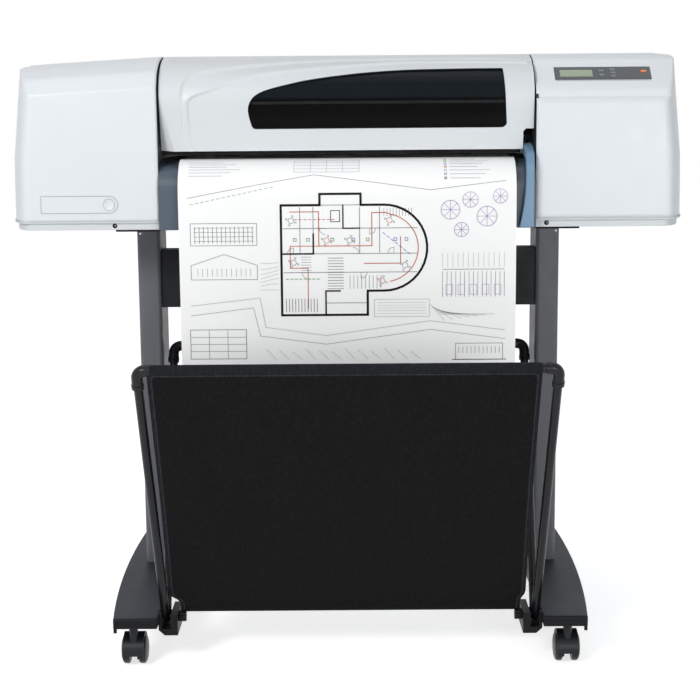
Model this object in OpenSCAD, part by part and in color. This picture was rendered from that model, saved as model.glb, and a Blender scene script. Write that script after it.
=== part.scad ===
// Large format roll-fed plotter on a wheeled stand, with a canvas bin for the printed sheets.
// Millimetres, +Z up, the floor at z = 0, the front towards -Y, the origin at the middle of the footprint.
// Depths are measured from the legs' centre plane, and centred() shifts them to the footprint's middle.

/* [Stand] */
// Height of a foot's underside above the floor
foot_z = 80; // [76:1:90]
// Height of a foot
foot_h = 20; // [16:1:26]
// Distance from the middle to a foot's inner edge
foot_in = 349; // [345:1:356]
// Width of a foot at its ends
foot_w = 79; // [70:1:90]
// How far a foot's outer edge swells at half its length
foot_bulge = 19; // [5:1:30]
// Reach of the feet in front of the legs
foot_front = 390; // [380:5:420]
// Reach of the feet behind the legs
foot_back = 305; // [290:5:340]
// Wall of the pressed feet and of the leg tubes
steel_t = 3; // [2:0.5:4]
// Depth of a foot's end cap
cap_d = 6; // [4:1:10]
// Distance from the middle to a leg's inner face
leg_in = 366; // [360:1:372]
// Width of a leg
leg_w = 45; // [36:1:50]
// Depth of a leg
leg_d = 110; // [90:1:130]
// Corner radius of a leg
leg_r = 8; // [4:1:12]
// Height of a leg above its foot
leg_h = 687; // [640:1:720]
// Thickness of the plate on a leg's top
leg_plate_t = 5; // [3:1:8]
// Height of the cross brace
brace_h = 113; // [80:1:140]
// Depth of the cross brace
brace_d = 40; // [30:1:50]
// Gap from the cross brace up to the body
brace_drop = 57; // [30:1:90]

/* [Casters] */
// Radius of a caster wheel
wheel_r = 27; // [22:0.5:28]
// Width over both wheels of a caster
caster_w = 48; // [40:1:52]
// Gap between the two wheels of a caster
wheel_gap = 17; // [12:1:20]
// Distance from a caster's stem to its axle
trail = 16; // [10:1:20]
// Radius of a caster's stem
stem_r = 5; // [4:0.5:7]
// Radius of a caster's axle
axle_r = 4; // [3:0.5:6]
// Wall of a caster's hood
hood_t = 3; // [2:0.5:4]
// Distance from the middle to the casters' stems
stem_x = 396; // [385:1:405]
// Distance from a foot's end to its caster's stem
stem_in = 27; // [24:1:60]

/* [Bin] */
// Radius of the frame tubes
tube_r = 8; // [6:0.5:9]
// Distance from the pivot line to the top bar
frame_len = 541; // [480:1:560]
// Half the tube spacing at the top bar
frame_top = 348; // [340:1:355]
// Half the tube spacing at the pivot line
frame_foot = 339; // [337:0.5:340]
// Lean of the front frame
front_lean = 23.4; // [10:0.1:30]
// Lean of the rear frame
rear_lean = 34.2; // [25:0.1:38]
// How far the pivots lie in front of the legs
pivot_y = 345; // [320:1:350]
// Distance from the front pivot back to the rear frame's pin
pivot_gap = 24; // [20:1:40]
// Height of the pivots above the floor
pivot_z = 88; // [80:1:95]
// Radius of an elbow
elbow_r = 10; // [9:0.5:12]
// Bend radius of an elbow, to its centre line
elbow_bend = 14; // [12:1:24]
// Length of the elbow's socket on a side tube
elbow_leg = 20; // [12:1:30]
// Half the width of the canvas
cloth_half = 324; // [300:1:325]
// Thickness of the canvas
cloth_t = 2; // [1:0.5:3]
// How far a panel of the canvas sags from a straight line
cloth_sag = 12; // [0:1:20]
// Radius of a clamp knob
knob_r = 10; // [8:0.5:10]
// Width of a clamp knob
knob_w = 13; // [8:1:16]

/* [Body] */
// Clear width between the two end modules
bay_w = 686; // [682:1:700]
// Reach of the module fronts in front of the legs
body_front = 240; // [230:1:255]
// Reach of the body behind the legs
body_back = 230; // [225:1:250]
// Height of the base pan
pan_h = 16; // [12:1:20]
// How far the base pan stays inside the covers
pan_inset = 7; // [3:1:12]
// Height of the covers above the base pan
cover_h = 297; // [292:1:320]
// Wall of the moulded covers
wall = 3; // [2:0.5:4]
// Half width of the body at its left end, at the bottom
left_half = 627; // [622:1:650]
// Half width of the body at its right end, at the bottom
right_half = 627; // [622:1:650]
// How much the ends draw in towards the top
end_taper = 18; // [5:1:25]
// How much the left end's top droops
left_droop = 14; // [0:1:20]
// Side gap between parts that move past the covers
seam = 3; // [1:0.5:5]
// Gap round a door or lid
door_gap = 1; // [0.5:0.25:2]
// Thickness of the service door
door_t = 8; // [6:1:10]
// Height of the service door
door_h = 176; // [150:1:200]
// Length of the service door along the right end
door_l = 165; // [120:1:170]

/* [Window] */
// Height of the window cover's lower edge above the base pan
win_low = 125; // [118:1:140]
// Thickness of the window cover's moulding
win_t = 8; // [5:0.5:8]
// Depth of each step in the window cover's face
relief = 2; // [0.5:0.25:2]
// Thickness of the smoked pane
pane_t = 2; // [1.5:0.5:3]
// Radius of the window hinge's barrels
barrel_r = 5; // [4:0.5:6]
// Radius of the window hinge's pins
hinge_pin_r = 2.5; // [2:0.25:3]

/* [Media path] */
// Width of the media
media_w = 610; // [420:1:620]
// Height of the media above the base pan, on the print platen
media_h = 109; // [105:0.5:112]
// Thickness of the sheet, as a solid
sheet_t = 0.8; // [0.4:0.1:1]
// How far the hanging sheet lies in front of the legs
hang_y = 270; // [262:1:285]
// Height of the sheet's lower end above the floor
sheet_end = 310; // [200:5:500]
// Radius of the drive roller
roller_r = 12; // [10:0.5:14]
// Distance of the drive roller in front of the legs
roller_y = 45; // [40:1:46]
// Radius of a pinch wheel
pinch_r = 6; // [5:0.5:6]
// Number of pinch wheels
pinch_n = 9; // [4:1:12]
// Outer radius of the media roll
roll_r = 45; // [32:1:48]
// Radius of the roll's core
core_r = 25.4; // [20:0.1:26]
// Distance of the media roll's axis behind the legs
roll_y = 190; // [180:1:200]
// Height of the media roll's axis above the base pan
roll_h = 57; // [54:1:62]
// Radius of the media spindle
spindle_r = 12; // [8:1:14]
// Reach of the front platen in front of the legs
platen_y = 247; // [242:1:250]
// Radius of the front platen's round front edge
platen_r = 40; // [20:1:42]
// Width of the media lever at its top
lever_w = 15; // [10:1:16]
// Width of the media lever at its bottom
lever_foot_w = 27; // [16:1:30]
// Thickness of the media lever
lever_t = 10; // [6:1:11]

/* [Mechanism] */
// Radius of the scan rails
rail_r = 8; // [6:0.5:9]
// Half the length of the chassis beam
beam_half = 560; // [545:1:570]
// Width of the carriage
car_w = 110; // [80:1:114]
// Distance from the middle to the parked carriage
car_park = 440; // [430:1:445]
// Radius of the belt pulleys
pulley_r = 12; // [10:0.5:12]
// Width of the drive belt
belt_w = 8; // [6:1:9]
// Thickness of the drive belt
belt_t = 1.5; // [1:0.25:2]
// Teeth of the drive roller's gear
gear_n = 48; // [40:4:52]
// Teeth of the feed pinion
pinion_n = 16; // [12:4:20]
// Radius of the motors
motor_r = 19; // [14:1:20]
// Length of the motors
motor_l = 50; // [40:1:60]
// Width of an ink cartridge
ink_w = 24; // [18:1:25]
// Height of an ink cartridge
ink_h = 120; // [80:1:130]

/* [Control panel] */
// Width of the control panel
panel_w = 175; // [160:1:190]
// Length of the control panel up the sloping face
panel_l = 35; // [30:1:40]
// Distance from the middle to the control panel's centre
panel_x = 467; // [455:1:480]
// Width of a key
key_w = 11; // [8:0.5:12]
// Length of a key
key_l = 6; // [4:0.5:7]
// Gap round a key
key_gap = 0.4; // [0.2:0.1:0.8]
// Width of the display
lcd_w = 60; // [40:1:64]
// Length of the display up the sloping face
lcd_l = 20; // [14:1:24]

/* [Hidden] */
$fn = 48;
// Radial clearance of a shaft that turns in its bore
run = 0.05;
// Clearance between parts that nearly touch
near = 0.3;
// Gap between the faces of pieces that butt together
fit = 0.1;
// Reach of a cut past the face that it opens
over = 1;

leg_z = foot_z + foot_h;
base_z = leg_z + leg_h;
z0 = base_z + pan_h;
// Media width and beam length for which the distances across the machine are given
media_std = 610;
beam_std = 560;
// The bay, and all that stands beside it, moves out with wider media; the modules' ends follow the beam too
widen = (media_w - media_std) / 2;
bay = bay_w / 2 + widen;
left_end = left_half + widen + beam_half - beam_std;
right_end = right_half + widen + beam_half - beam_std;
beam_x = beam_half + widen;
park_x = car_park + widen;
panel_cx = panel_x + widen + (beam_half - beam_std) / 2;
foot_len = foot_front + foot_back;
foot_mid = (foot_back - foot_front) / 2;
bulge_r = (pow(foot_len / 2, 2) + pow(foot_bulge, 2)) / (2 * foot_bulge);
bin_front = pivot_y + frame_len * sin(front_lean) + elbow_r;
front_reach = max(bin_front, foot_front + cap_d);
// Hood of a caster: its inner radius, and where it starts behind the wheels
shell_r = wheel_r + 1.5;
hood_from = 110;
back_reach = max(foot_back + cap_d, foot_back - stem_in + trail + (shell_r + hood_t) * sin(hood_from));

// Lean of the side tubes out of the vertical, seen from the front
splay = atan((frame_top - frame_foot) / frame_len);
// Outer faces of the bin bracket's inner wall
bracket_in = 314;
bracket_wall = 13;
bracket_pin_r = 4;
bracket_low = 60;
bracket_top = pivot_z + 11;

// Height of the media's underside and of the drive roller's axis
media_z = z0 + media_h;
roller_z = media_z - roller_r;
pinch_z = media_z + sheet_t + pinch_r + 0.4;
pinch_axis_y = -5;
pinch_axis_z = pinch_z + 10.6;

// Side plates stand just inside the modules' open sides
plate_t = 4;
// Chassis beam behind the carriage
beam_y0 = 30;
beam_y1 = 100;
beam_z0 = z0 + 127;
beam_z1 = z0 + 247;
rail_y = 5;
rail_low = z0 + 152;
rail_high = z0 + 232;
rail_mid = (rail_low + rail_high) / 2;
rail_half = beam_x - 10;
pulley_x = beam_x - 25;
motor_x = pulley_x;

// Sloping face of the right module that carries the control panel
slope_low = [-body_front + 12, cover_h - 64];
slope_high = [-body_front + 80, cover_h - 10];
slope = atan2(slope_high.y - slope_low.y, slope_high.x - slope_low.x);
panel_mid = (slope_low + slope_high) / 2;
panel_t = 4;
panel_sunk = 3;
key_low = -2;
key_high = 1.8;

// Media lever's pivot, hub and place across the machine
lever_axis_y = -205;
lever_axis_z = z0 + 125;
hub_r = 11;
lever_right = bay - 5;
lever_face = -platen_y - 15;

// Service door in the right end, hinged along its lower edge
door_y0 = -105;
door_y1 = door_y0 + door_l;
door_low = z0 + 14;
door_barrel_r = 3.2;
door_axis_x = right_end - door_barrel_r - 1.4;
door_pin_r = 1.5;

// Ink lid on the left module's top
lid_x0 = -left_end + 34;
lid_x1 = -bay - 75;
lid_front = -110;
lid_axis_y = 60;
lid_barrel_r = 3.2;
droop_angle = atan(left_droop / (left_end - end_taper - bay));

// Window hinge
win_axis_y = -12;
win_axis_z = z0 + cover_h - barrel_r - 0.6;

// Carriage and printheads
car_low = z0 + 122;
car_step = z0 + 139;
car_top = z0 + 262;
car_front = -150;
head_front = -136;
head_w = 19;
head_d = 70;
head_step = 24;

// Small shafts
journal_r = 5;
pinch_pin_r = 3;
pinch_axle_r = 2;
lever_pin_r = 4;
spindle_end_r = 8;
pulley_pin_r = 3;
pinion_z = roller_z - (gear_n + pinion_n) / 2 - 0.4;
belt_y0 = rail_y - 9;

// Ink station, inlet panel and display
ink_x0 = -left_end + 29;
ink_low = 90;
inlet_x0 = bay + 127;
inlet_x1 = bay + 217;
lcd_x = -48;

module centred() {
    translate([0, (front_reach - back_reach) / 2, 0]) children();
}

module box(lo, hi) {
    translate(lo) cube(hi - lo);
}

module along_x(x0, x1) {
    translate([x0, 0, 0]) rotate([90, 0, 90]) linear_extrude(x1 - x0) children();
}

module along_y(y0, y1) {
    translate([0, y1, 0]) rotate([90, 0, 0]) linear_extrude(y1 - y0) children();
}

module along_z(low, high) {
    translate([0, 0, low]) linear_extrude(high - low) children();
}

module rod_x(r, x0, x1, y, z) {
    translate([x0, y, z]) rotate([0, 90, 0]) cylinder(r = r, h = x1 - x0);
}

module rod_y(r, y0, y1, x, z) {
    translate([x, y1, z]) rotate([90, 0, 0]) cylinder(r = r, h = y1 - y0);
}

module both_sides() {
    children();
    mirror([1, 0, 0]) children();
}

module round_square(w, d, r) {
    square([w - 2 * r, d], center = true);
    square([w, d - 2 * r], center = true);
    for (sx = [-1, 1], sy = [-1, 1])
        translate([sx * (w / 2 - r), sy * (d / 2 - r)]) circle(r);
}

// Points of an elliptical arc round c
function arc(c, r, from, to, n) =
    [for (i = [0:n]) let (a = from + (to - from) * i / n) [c.x + r.x * cos(a), c.y + r.y * sin(a)]];

// Smooth curve through points, n steps to each stretch
function blend(a, b, c, d, t) =
    (2 * b + (c - a) * t + (2 * a - 5 * b + 4 * c - d) * t * t + (3 * b - a - 3 * c + d) * t * t * t) / 2;
function curve(p, n) = let (last = len(p) - 1) concat(
    [for (i = [0:last - 1], k = [0:n - 1])
        blend(p[max(i - 1, 0)], p[i], p[i + 1], p[min(i + 2, last)], k / n)],
    [p[last]]);

// A path moved sideways by t, and the closed strip between two such paths
function unit(v) = v / norm(v);
function heading(p, i) = unit(p[min(i + 1, len(p) - 1)] - p[max(i - 1, 0)]);
function shifted(p, t) = [for (i = [0:len(p) - 1]) p[i] + t * [-heading(p, i).y, heading(p, i).x]];
function backwards(p) = [for (i = [len(p) - 1:-1:0]) p[i]];
function strip(p, t0, t1) = concat(shifted(p, t0), backwards(shifted(p, t1)));

// A point given as depth and height above the base pan, lifted to the floor's frame
function lifted(p) = [for (q = p) [q.x, q.y + z0]];

// Plan of the right foot, drawn in by inset
module foot_plan(inset) {
    intersection() {
        translate([foot_in + inset, -foot_front + inset])
            square([foot_w + foot_bulge, foot_len - 2 * inset]);
        translate([foot_in + foot_w + foot_bulge - bulge_r, foot_mid]) circle(bulge_r - inset, $fn = 200);
    }
}

// The right foot: a pressed tray, open below, with bosses for the caster stems
module foot() {
    color("dimgray") difference() {
        union() {
            difference() {
                along_z(foot_z, leg_z) foot_plan(0);
                along_z(foot_z - over, leg_z - steel_t) foot_plan(steel_t);
            }
            for (y = [-foot_front + stem_in, foot_back - stem_in])
                translate([stem_x, y, foot_z]) cylinder(r = stem_r + 8, h = foot_h - over);
        }
        for (y = [-foot_front + stem_in, foot_back - stem_in])
            translate([stem_x, y, foot_z - over]) cylinder(r = stem_r + run, h = foot_h - steel_t + over);
    }
}

module left_foot() {
    centred() mirror([1, 0, 0]) foot();
}

module right_foot() {
    centred() foot();
}

// Rounded caps on the ends of the feet, each with a down-turned outer corner
module foot_end_caps() {
    face = [
        [0, foot_z], [0, leg_z], [cap_d - 2, leg_z],
        [cap_d, leg_z - 3], [cap_d, foot_z + 3], [cap_d - 2, foot_z]
    ];
    outer = foot_in + foot_w;
    color("black") centred() both_sides() for (end = [-1, 1])
        translate([0, end < 0 ? -foot_front : foot_back, 0]) mirror([0, end < 0 ? 1 : 0, 0]) {
            along_x(foot_in, outer) polygon(face);
            box([outer - cap_d, 0, foot_z - 8], [outer, cap_d - 2, foot_z]);
        }
}

// The right leg: a tube on the foot, with the plate that carries the body
module leg() {
    color("gray") translate([leg_in + leg_w / 2, 0, 0]) {
        difference() {
            along_z(leg_z, base_z - leg_plate_t) round_square(leg_w, leg_d, leg_r);
            along_z(leg_z - over, base_z)
                round_square(leg_w - 2 * steel_t, leg_d - 2 * steel_t, leg_r - steel_t);
        }
        along_z(base_z - leg_plate_t, base_z) round_square(2 * leg_w, leg_d, leg_r);
    }
}

module left_leg() {
    centred() mirror([1, 0, 0]) leg();
}

module right_leg() {
    centred() leg();
}

// A pressed channel between the legs, open to the back
module cross_brace() {
    high = base_z - brace_drop;
    front = -leg_d / 2 + 10;
    color("#23262a") centred() difference() {
        box([-leg_in, front, high - brace_h], [leg_in, front + brace_d, high]);
        box([-leg_in - over, front + steel_t, high - brace_h + steel_t],
            [leg_in + over, front + brace_d + over, high - steel_t]);
    }
}

// Stems of the four casters, by side and end
function stem_at(side, end) = [side * stem_x, end < 0 ? -foot_front + stem_in : foot_back - stem_in, 0];

// Swivelling hood: a hollow shell over the wheels, a web between them and the stem above
module caster_hood(side, end) {
    web = wheel_gap / 2 - 2.5;
    half = caster_w / 2 - 5;
    color("#32353a") centred() translate(stem_at(side, end)) {
        translate([0, trail, wheel_r]) difference() {
            union() {
                rotate([0, 90, 0]) rotate([0, 0, hood_from]) rotate_extrude(angle = 180, $fn = 64)
                    translate([shell_r, -half]) square([hood_t, 2 * half]);
                rod_x(shell_r + 1, -web, web, 0, 0);
            }
            box([-web - over, -shell_r - hood_t - over, -shell_r - over],
                [web + over, shell_r + hood_t + over, -wheel_r + 22]);
            rod_x(axle_r + run, -web - over, web + over, 0, 0);
        }
        translate([0, trail, wheel_r]) difference() {
            rod_x(axle_r + 4, -web, web, 0, 0);
            rod_x(axle_r + run, -web - over, web + over, 0, 0);
        }
        difference() {
            translate([0, 0, wheel_r + 10]) cylinder(r = stem_r + 3, h = foot_z - near - wheel_r - 10);
            translate([0, trail, wheel_r]) rod_x(shell_r + 0.5, -caster_w, caster_w, 0, 0);
        }
        translate([0, 0, foot_z - over]) cylinder(r = stem_r, h = foot_h - steel_t);
    }
}

// A pair of domed wheels on their axle
module caster_wheels(side, end) {
    half = caster_w / 2;
    rim = wheel_gap / 2;
    dome = [
        [axle_r, rim], [wheel_r - 2, rim], [wheel_r, rim + 2], [wheel_r, half - 6], [wheel_r - 2.5, half - 3],
        [wheel_r * 0.7, half - 1], [wheel_r * 0.4, half], [0, half], [0, half - 4], [axle_r, half - 4]
    ];
    color("#2a2c30") centred() translate(stem_at(side, end) + [0, trail, wheel_r]) rotate([0, 90, 0]) {
        for (m = [0, 1]) mirror([0, 0, m]) rotate_extrude($fn = 64) polygon(dome);
        cylinder(r = axle_r, h = caster_w - 8, center = true);
    }
}

// Frame of one side of the bin, upright, with the pivot line at its origin
module frame_side() {
    top = frame_len - elbow_bend - elbow_leg - fit;
    translate([frame_foot, 0, 0]) difference() {
        rotate([0, splay, 0]) translate([0, 0, -tube_r - 1]) cylinder(r = tube_r, h = top + tube_r + 1);
        rod_x(bracket_pin_r + run, -tube_r - over, tube_r + over, 0, 0);
    }
}

// Elbow between a side tube and the top bar
module frame_elbow() {
    translate([frame_top, 0, frame_len - elbow_bend]) {
        translate([-elbow_bend, 0, 0]) rotate([90, 0, 0]) rotate_extrude(angle = 90)
            translate([elbow_bend, 0]) circle(elbow_r);
        translate([0, 0, -elbow_leg]) cylinder(r = elbow_r, h = elbow_leg);
        translate([0, 0, -elbow_leg]) cylinder(r = elbow_r + 1, h = 8);
        rod_x(elbow_r, -elbow_bend - 8, -elbow_bend, 0, elbow_bend);
    }
}

// Bin frame as it stands: two side tubes, two elbows and the top bar
module bin_frame() {
    bar = frame_top - elbow_bend - 8 - fit;
    both_sides() {
        frame_side();
        frame_elbow();
    }
    rod_x(tube_r, -bar, bar, 0, frame_len);
}

module bin_front_frame() {
    color("#1c1c1e") centred() translate([0, -pivot_y, pivot_z]) rotate([front_lean, 0, 0]) bin_frame();
}

module bin_rear_frame() {
    color("#1c1c1e") centred() translate([0, -pivot_y + pivot_gap, pivot_z])
        rotate([-rear_lean, 0, 0]) bin_frame();
}

// Sleeve of the canvas round a top bar
module sleeve() {
    difference() {
        circle(tube_r + near + cloth_t);
        circle(tube_r + near);
    }
}

// Front panel of the canvas, sewn round the front bar and sagging a little outwards
module bin_front_fabric() {
    low = 30;
    high = frame_len - tube_r - near - cloth_t / 2;
    drop = [for (i = [0:8]) let (s = i / 8) [-4 * cloth_sag * s * (1 - s), high + (low - high) * s]];
    color("#202020") centred() translate([0, -pivot_y, pivot_z]) rotate([front_lean, 0, 0])
        along_x(-cloth_half, cloth_half) {
            translate([0, frame_len]) sleeve();
            polygon(strip(drop, -cloth_t / 2, cloth_t / 2));
        }
}

// Rear panel of the canvas, with the fold at the bottom of the bin
module bin_rear_fabric() {
    top = [-pivot_y + pivot_gap + frame_len * sin(rear_lean), pivot_z + frame_len * cos(rear_lean)];
    down = [-sin(rear_lean), -cos(rear_lean)];
    out = [cos(rear_lean), -sin(rear_lean)];
    start = top + (tube_r + near + cloth_t / 2) * down;
    foot = [-pivot_y + 14, bracket_top + 3];
    steps = 8;
    panel = [for (i = [0:steps]) let (s = i / steps)
        start + s * (foot - start) + 4 * cloth_sag * s * (1 - s) * out];
    color("#202020") centred() along_x(-cloth_half, cloth_half) {
        translate(top) sleeve();
        polygon(strip(concat(panel, [foot + [-9, -1.5], foot + [-18, 0]]), -cloth_t / 2, cloth_t / 2));
    }
}

// Bracket on the inner side of a foot: a floor, an inner wall and the two pins of the frames
module bin_bracket() {
    wall_x = bracket_in + bracket_wall;
    y0 = -pivot_y - 27;
    y1 = -pivot_y + pivot_gap + 25;
    difference() {
        union() {
            box([bracket_in, y0, bracket_low], [wall_x, y1, bracket_top]);
            box([bracket_in, y0, bracket_low], [foot_in, y1, bracket_low + 12]);
            for (y = [-pivot_y, -pivot_y + pivot_gap])
                rod_x(bracket_pin_r, wall_x - over, frame_foot + tube_r - 1, y, pivot_z);
        }
        rod_x(bracket_pin_r + run, bracket_in - over, bracket_in + 8, -pivot_y, pivot_z);
        along_y(y0 - over, y1 + over) polygon([
            [foot_in + over, bracket_low - over], [foot_in + over, bracket_low + 11],
            [foot_in - 12, bracket_low - over]
        ]);
    }
    box([foot_in - 6, y0, bracket_low + 12], [foot_in, y0 + 10, leg_z]);
}

module bin_brackets() {
    color("#151517") centred() both_sides() bin_bracket();
}

// Clamp knob on the end of a front pivot
module bin_knob(side) {
    lobes = 6;
    color("#151517") centred() translate([side * bracket_in, -pivot_y, pivot_z]) rotate([0, -side * 90, 0]) {
        difference() {
            translate([0, 0, near]) cylinder(r = knob_r, h = knob_w);
            for (i = [0:lobes - 1]) rotate([0, 0, i * 360 / lobes])
                translate([knob_r + 1.5, 0, -over]) cylinder(r = 3, h = knob_w + 2 * over);
        }
        translate([0, 0, -7]) cylinder(r = bracket_pin_r, h = 8);
    }
}

// Outlines of an end module. t is how far inside the outer skin they lie.
function side_half(side) = side < 0 ? left_end : right_end;
function droop(side) = side < 0 ? left_droop : 0;

// Side view: plain and rounded on the left, with the sloping panel face on the right
function side_view(side, t) = let (f = -body_front + t, b = body_back - t, h = cover_h - t, r = 45) concat(
    [[b, -over], [f, -over]],
    side < 0
        ? concat([[f, cover_h - 56]], curve([[f + 17, cover_h - 28 - t], [f + 60, h - 8], [f + 110, h]], 4))
        : [[f, cover_h - 86], slope_low + [t, -t / 2], slope_high + [t / 2, -t], [-body_front + 108, h]],
    [[b - r, h]],
    arc([b - r, h - r], [r, r], 80, 0, 6));

// Front view of the right module, or of the left one mirrored
function front_view(side, t) = let (e = side_half(side) - t, h = cover_h - t, r = 16) concat(
    [[0, -over], [e, -over], [e - end_taper * 0.1, 110]],
    arc([e - end_taper - r, h - droop(side) - r], [r, r], 0, 90, 5),
    [[bay, h], [0, h]]);

// Plan of the right module, or of the left one mirrored
function plan_view(side, t) =
    let (e = side_half(side) - t, f = -body_front + t, b = body_back - t, c = 42, r = 45) concat(
        [[0, f]], arc([e - c, f + 128], [c, 128], -90, 0, 8),
        arc([e - r, b - r], [r, r], 0, 90, 6), [[0, b]]);

// Solid block of an end module, t inside its skin, from x0 outwards
module end_block(side, t, x0) {
    mirror([side < 0 ? 1 : 0, 0, 0]) intersection() {
        translate([0, 0, z0]) along_x(x0, side_half(side) + over) polygon(side_view(side, t));
        translate([0, 0, z0]) along_y(-body_front - over, body_back + over) polygon(front_view(side, t));
        along_z(z0, z0 + cover_h + over) polygon(plan_view(side, t));
    }
}

module end_shell(side) {
    difference() {
        end_block(side, 0, bay);
        translate([0, 0, -over]) end_block(side, wall, bay - over);
        end_block(side, wall, bay - over);
    }
}

// Skin of the left module's top that lifts as the ink lid, grown by gap on every side
module lid_zone(gap) {
    box([lid_x0 - gap, lid_front - gap, z0 + cover_h - 60],
        [lid_x1 + gap, lid_axis_y + gap, z0 + cover_h + over]);
}

// Places its children along the ink lid's hinge, with +Z along the axis towards the middle
module at_lid_hinge(x) {
    z = z0 + cover_h - (-bay - x) * tan(droop_angle) - lid_barrel_r;
    translate([x, lid_axis_y, z]) rotate([0, 90 - droop_angle, 0]) children();
}

module left_cover() {
    ear = 9;
    color("#dee2e5") centred() difference() {
        union() {
            difference() {
                end_shell(-1);
                lid_zone(door_gap);
                at_lid_hinge(lid_x0) translate([0, 0, -5])
                    cylinder(r = lid_barrel_r + door_gap, h = lid_x1 - lid_x0 + 10);
            }
            for (x = [lid_x0 - door_gap - ear, lid_x1 + door_gap])
                intersection() {
                    end_block(-1, wall / 2, bay);
                    at_lid_hinge(x) translate([0, 0, ear / 2]) cube([16, 16, ear], center = true);
                }
        }
        at_lid_hinge(lid_x0) translate([0, 0, -8]) cylinder(r = 1.5 + run, h = lid_x1 - lid_x0 + 16);
    }
}

module ink_lid() {
    long = (lid_x1 - lid_x0) / cos(droop_angle);
    color("#d9dde0") centred() {
        difference() {
            intersection() {
                end_block(-1, 0, bay);
                lid_zone(0);
            }
            end_block(-1, wall, bay - over);
            box([lid_x0 - over, lid_axis_y, base_z], [lid_x1 + over, lid_axis_y + 20, z0 + cover_h + over]);
        }
        at_lid_hinge(lid_x0) cylinder(r = lid_barrel_r, h = long);
        at_lid_hinge(lid_x0) translate([0, 0, -6]) cylinder(r = 1.5, h = long + 12);
    }
}

// Places its children on the sloping face: local X across, Y up the slope, Z out of it
module on_slope(x, y) {
    translate([panel_cx, panel_mid.x, z0 + panel_mid.y]) rotate([slope, 0, 0])
        translate([x, y, 0]) children();
}

// Part of the right end that is the service door, grown by gap at its sides and top and by drop below
module door_zone(gap, drop) {
    box([right_end - 40, door_y0 - gap, door_low - drop],
        [right_end + over, door_y1 + gap, door_low + door_h + gap]);
}

module right_cover() {
    ear = 9;
    color("#dee2e5") centred() difference() {
        union() {
            difference() {
                end_shell(1);
                door_zone(door_gap, door_barrel_r + 2.4);
            }
            for (y = [door_y0 - door_gap - ear, door_y1 + door_gap])
                intersection() {
                    end_block(1, wall / 2, bay);
                    box([door_axis_x - 8, y, door_low - 8], [right_end + over, y + ear, door_low + 8]);
                }
            intersection() {
                end_block(1, 0, bay);
                on_slope(-panel_w / 2 - 4, -panel_l / 2 - 4) translate([0, 0, -panel_sunk - 4])
                    cube([panel_w + 8, panel_l + 8, 5]);
            }
        }
        rod_y(door_pin_r + run, door_y0 - 8, door_y1 + 8, door_axis_x, door_low);
        on_slope(-panel_w / 2 - near / 2, -panel_l / 2 - near / 2) translate([0, 0, -panel_sunk - 0.5])
            cube([panel_w + near, panel_l + near, 10]);
        box([inlet_x0, body_back - 2 * wall, z0 + 22], [inlet_x1, body_back + over, z0 + 82]);
    }
}

module service_door() {
    color("#dbdfe2") centred() {
        difference() {
            intersection() {
                end_block(1, 0, bay);
                door_zone(0, 0);
            }
            end_block(1, door_t, bay - over);
        }
        rod_y(door_barrel_r, door_y0, door_y1, door_axis_x, door_low);
        rod_y(door_pin_r, door_y0 - 6, door_y1 + 6, door_axis_x, door_low);
    }
}

// Plan of the whole base, inset from the covers' skin
module base_plan(inset) {
    polygon(plan_view(1, inset));
    mirror([1, 0]) polygon(plan_view(-1, inset));
}

// Base pan: a pressed tray, open below, with a flange under the covers and solid pads over the legs
module base_pan() {
    color("#3a3d40") centred() difference() {
        union() {
            along_z(base_z, z0) base_plan(pan_inset);
            along_z(z0 - steel_t, z0) base_plan(over);
        }
        difference() {
            along_z(base_z - over, z0 - steel_t) base_plan(pan_inset + steel_t);
            both_sides() box([leg_in - leg_w / 2, -leg_d / 2, base_z - 2 * over],
                [leg_in + 1.5 * leg_w, leg_d / 2, z0]);
        }
    }
}

// Side plates inside the modules' open sides, with the carriage's window, bores and spindle cradles
module side_plate(side) {
    sill = car_step - 1.5;
    low = car_low - 7;
    top = car_top + 10;
    front = car_front - 8;
    gap = [
        [front, low], [-roller_y - 17, low], [-roller_y - 17, sill], [beam_y0 - 0.5, sill],
        [beam_y0 - 0.5, beam_z0], [beam_y1 + 0.5, beam_z0], [beam_y1 + 0.5, top], [front, top]
    ];
    roll_z = z0 + roll_h;
    slot = spindle_end_r + near;
    difference() {
        union() {
            intersection() {
                end_block(side, wall + near, bay);
                mirror([side < 0 ? 1 : 0, 0, 0])
                    box([bay, -body_front, z0], [bay + plate_t, body_back, z0 + cover_h]);
            }
            mirror([side < 0 ? 1 : 0, 0, 0])
                box([bay - 6, roll_y - 20, roll_z - 24], [bay + over, roll_y + 20, roll_z]);
        }
        mirror([side < 0 ? 1 : 0, 0, 0]) {
            along_x(bay - over, bay + plate_t + over) polygon(gap);
            rod_x(journal_r + run, bay - over, bay + plate_t + over, -roller_y, roller_z);
            rod_x(pinch_pin_r + run, bay - over, bay + plate_t + over, pinch_axis_y, pinch_axis_z);
            if (side > 0)
                rod_x(lever_pin_r + run, bay - over, bay + plate_t + over, lever_axis_y, lever_axis_z);
            rod_x(spindle_end_r + near, bay - 7, bay + over, roll_y, roll_z);
            box([bay - 7, roll_y - slot, roll_z], [bay, roll_y + slot, roll_z + over]);
        }
    }
}

module side_plates() {
    color("#8d9296") centred() {
        side_plate(-1);
        side_plate(1);
    }
}

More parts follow.
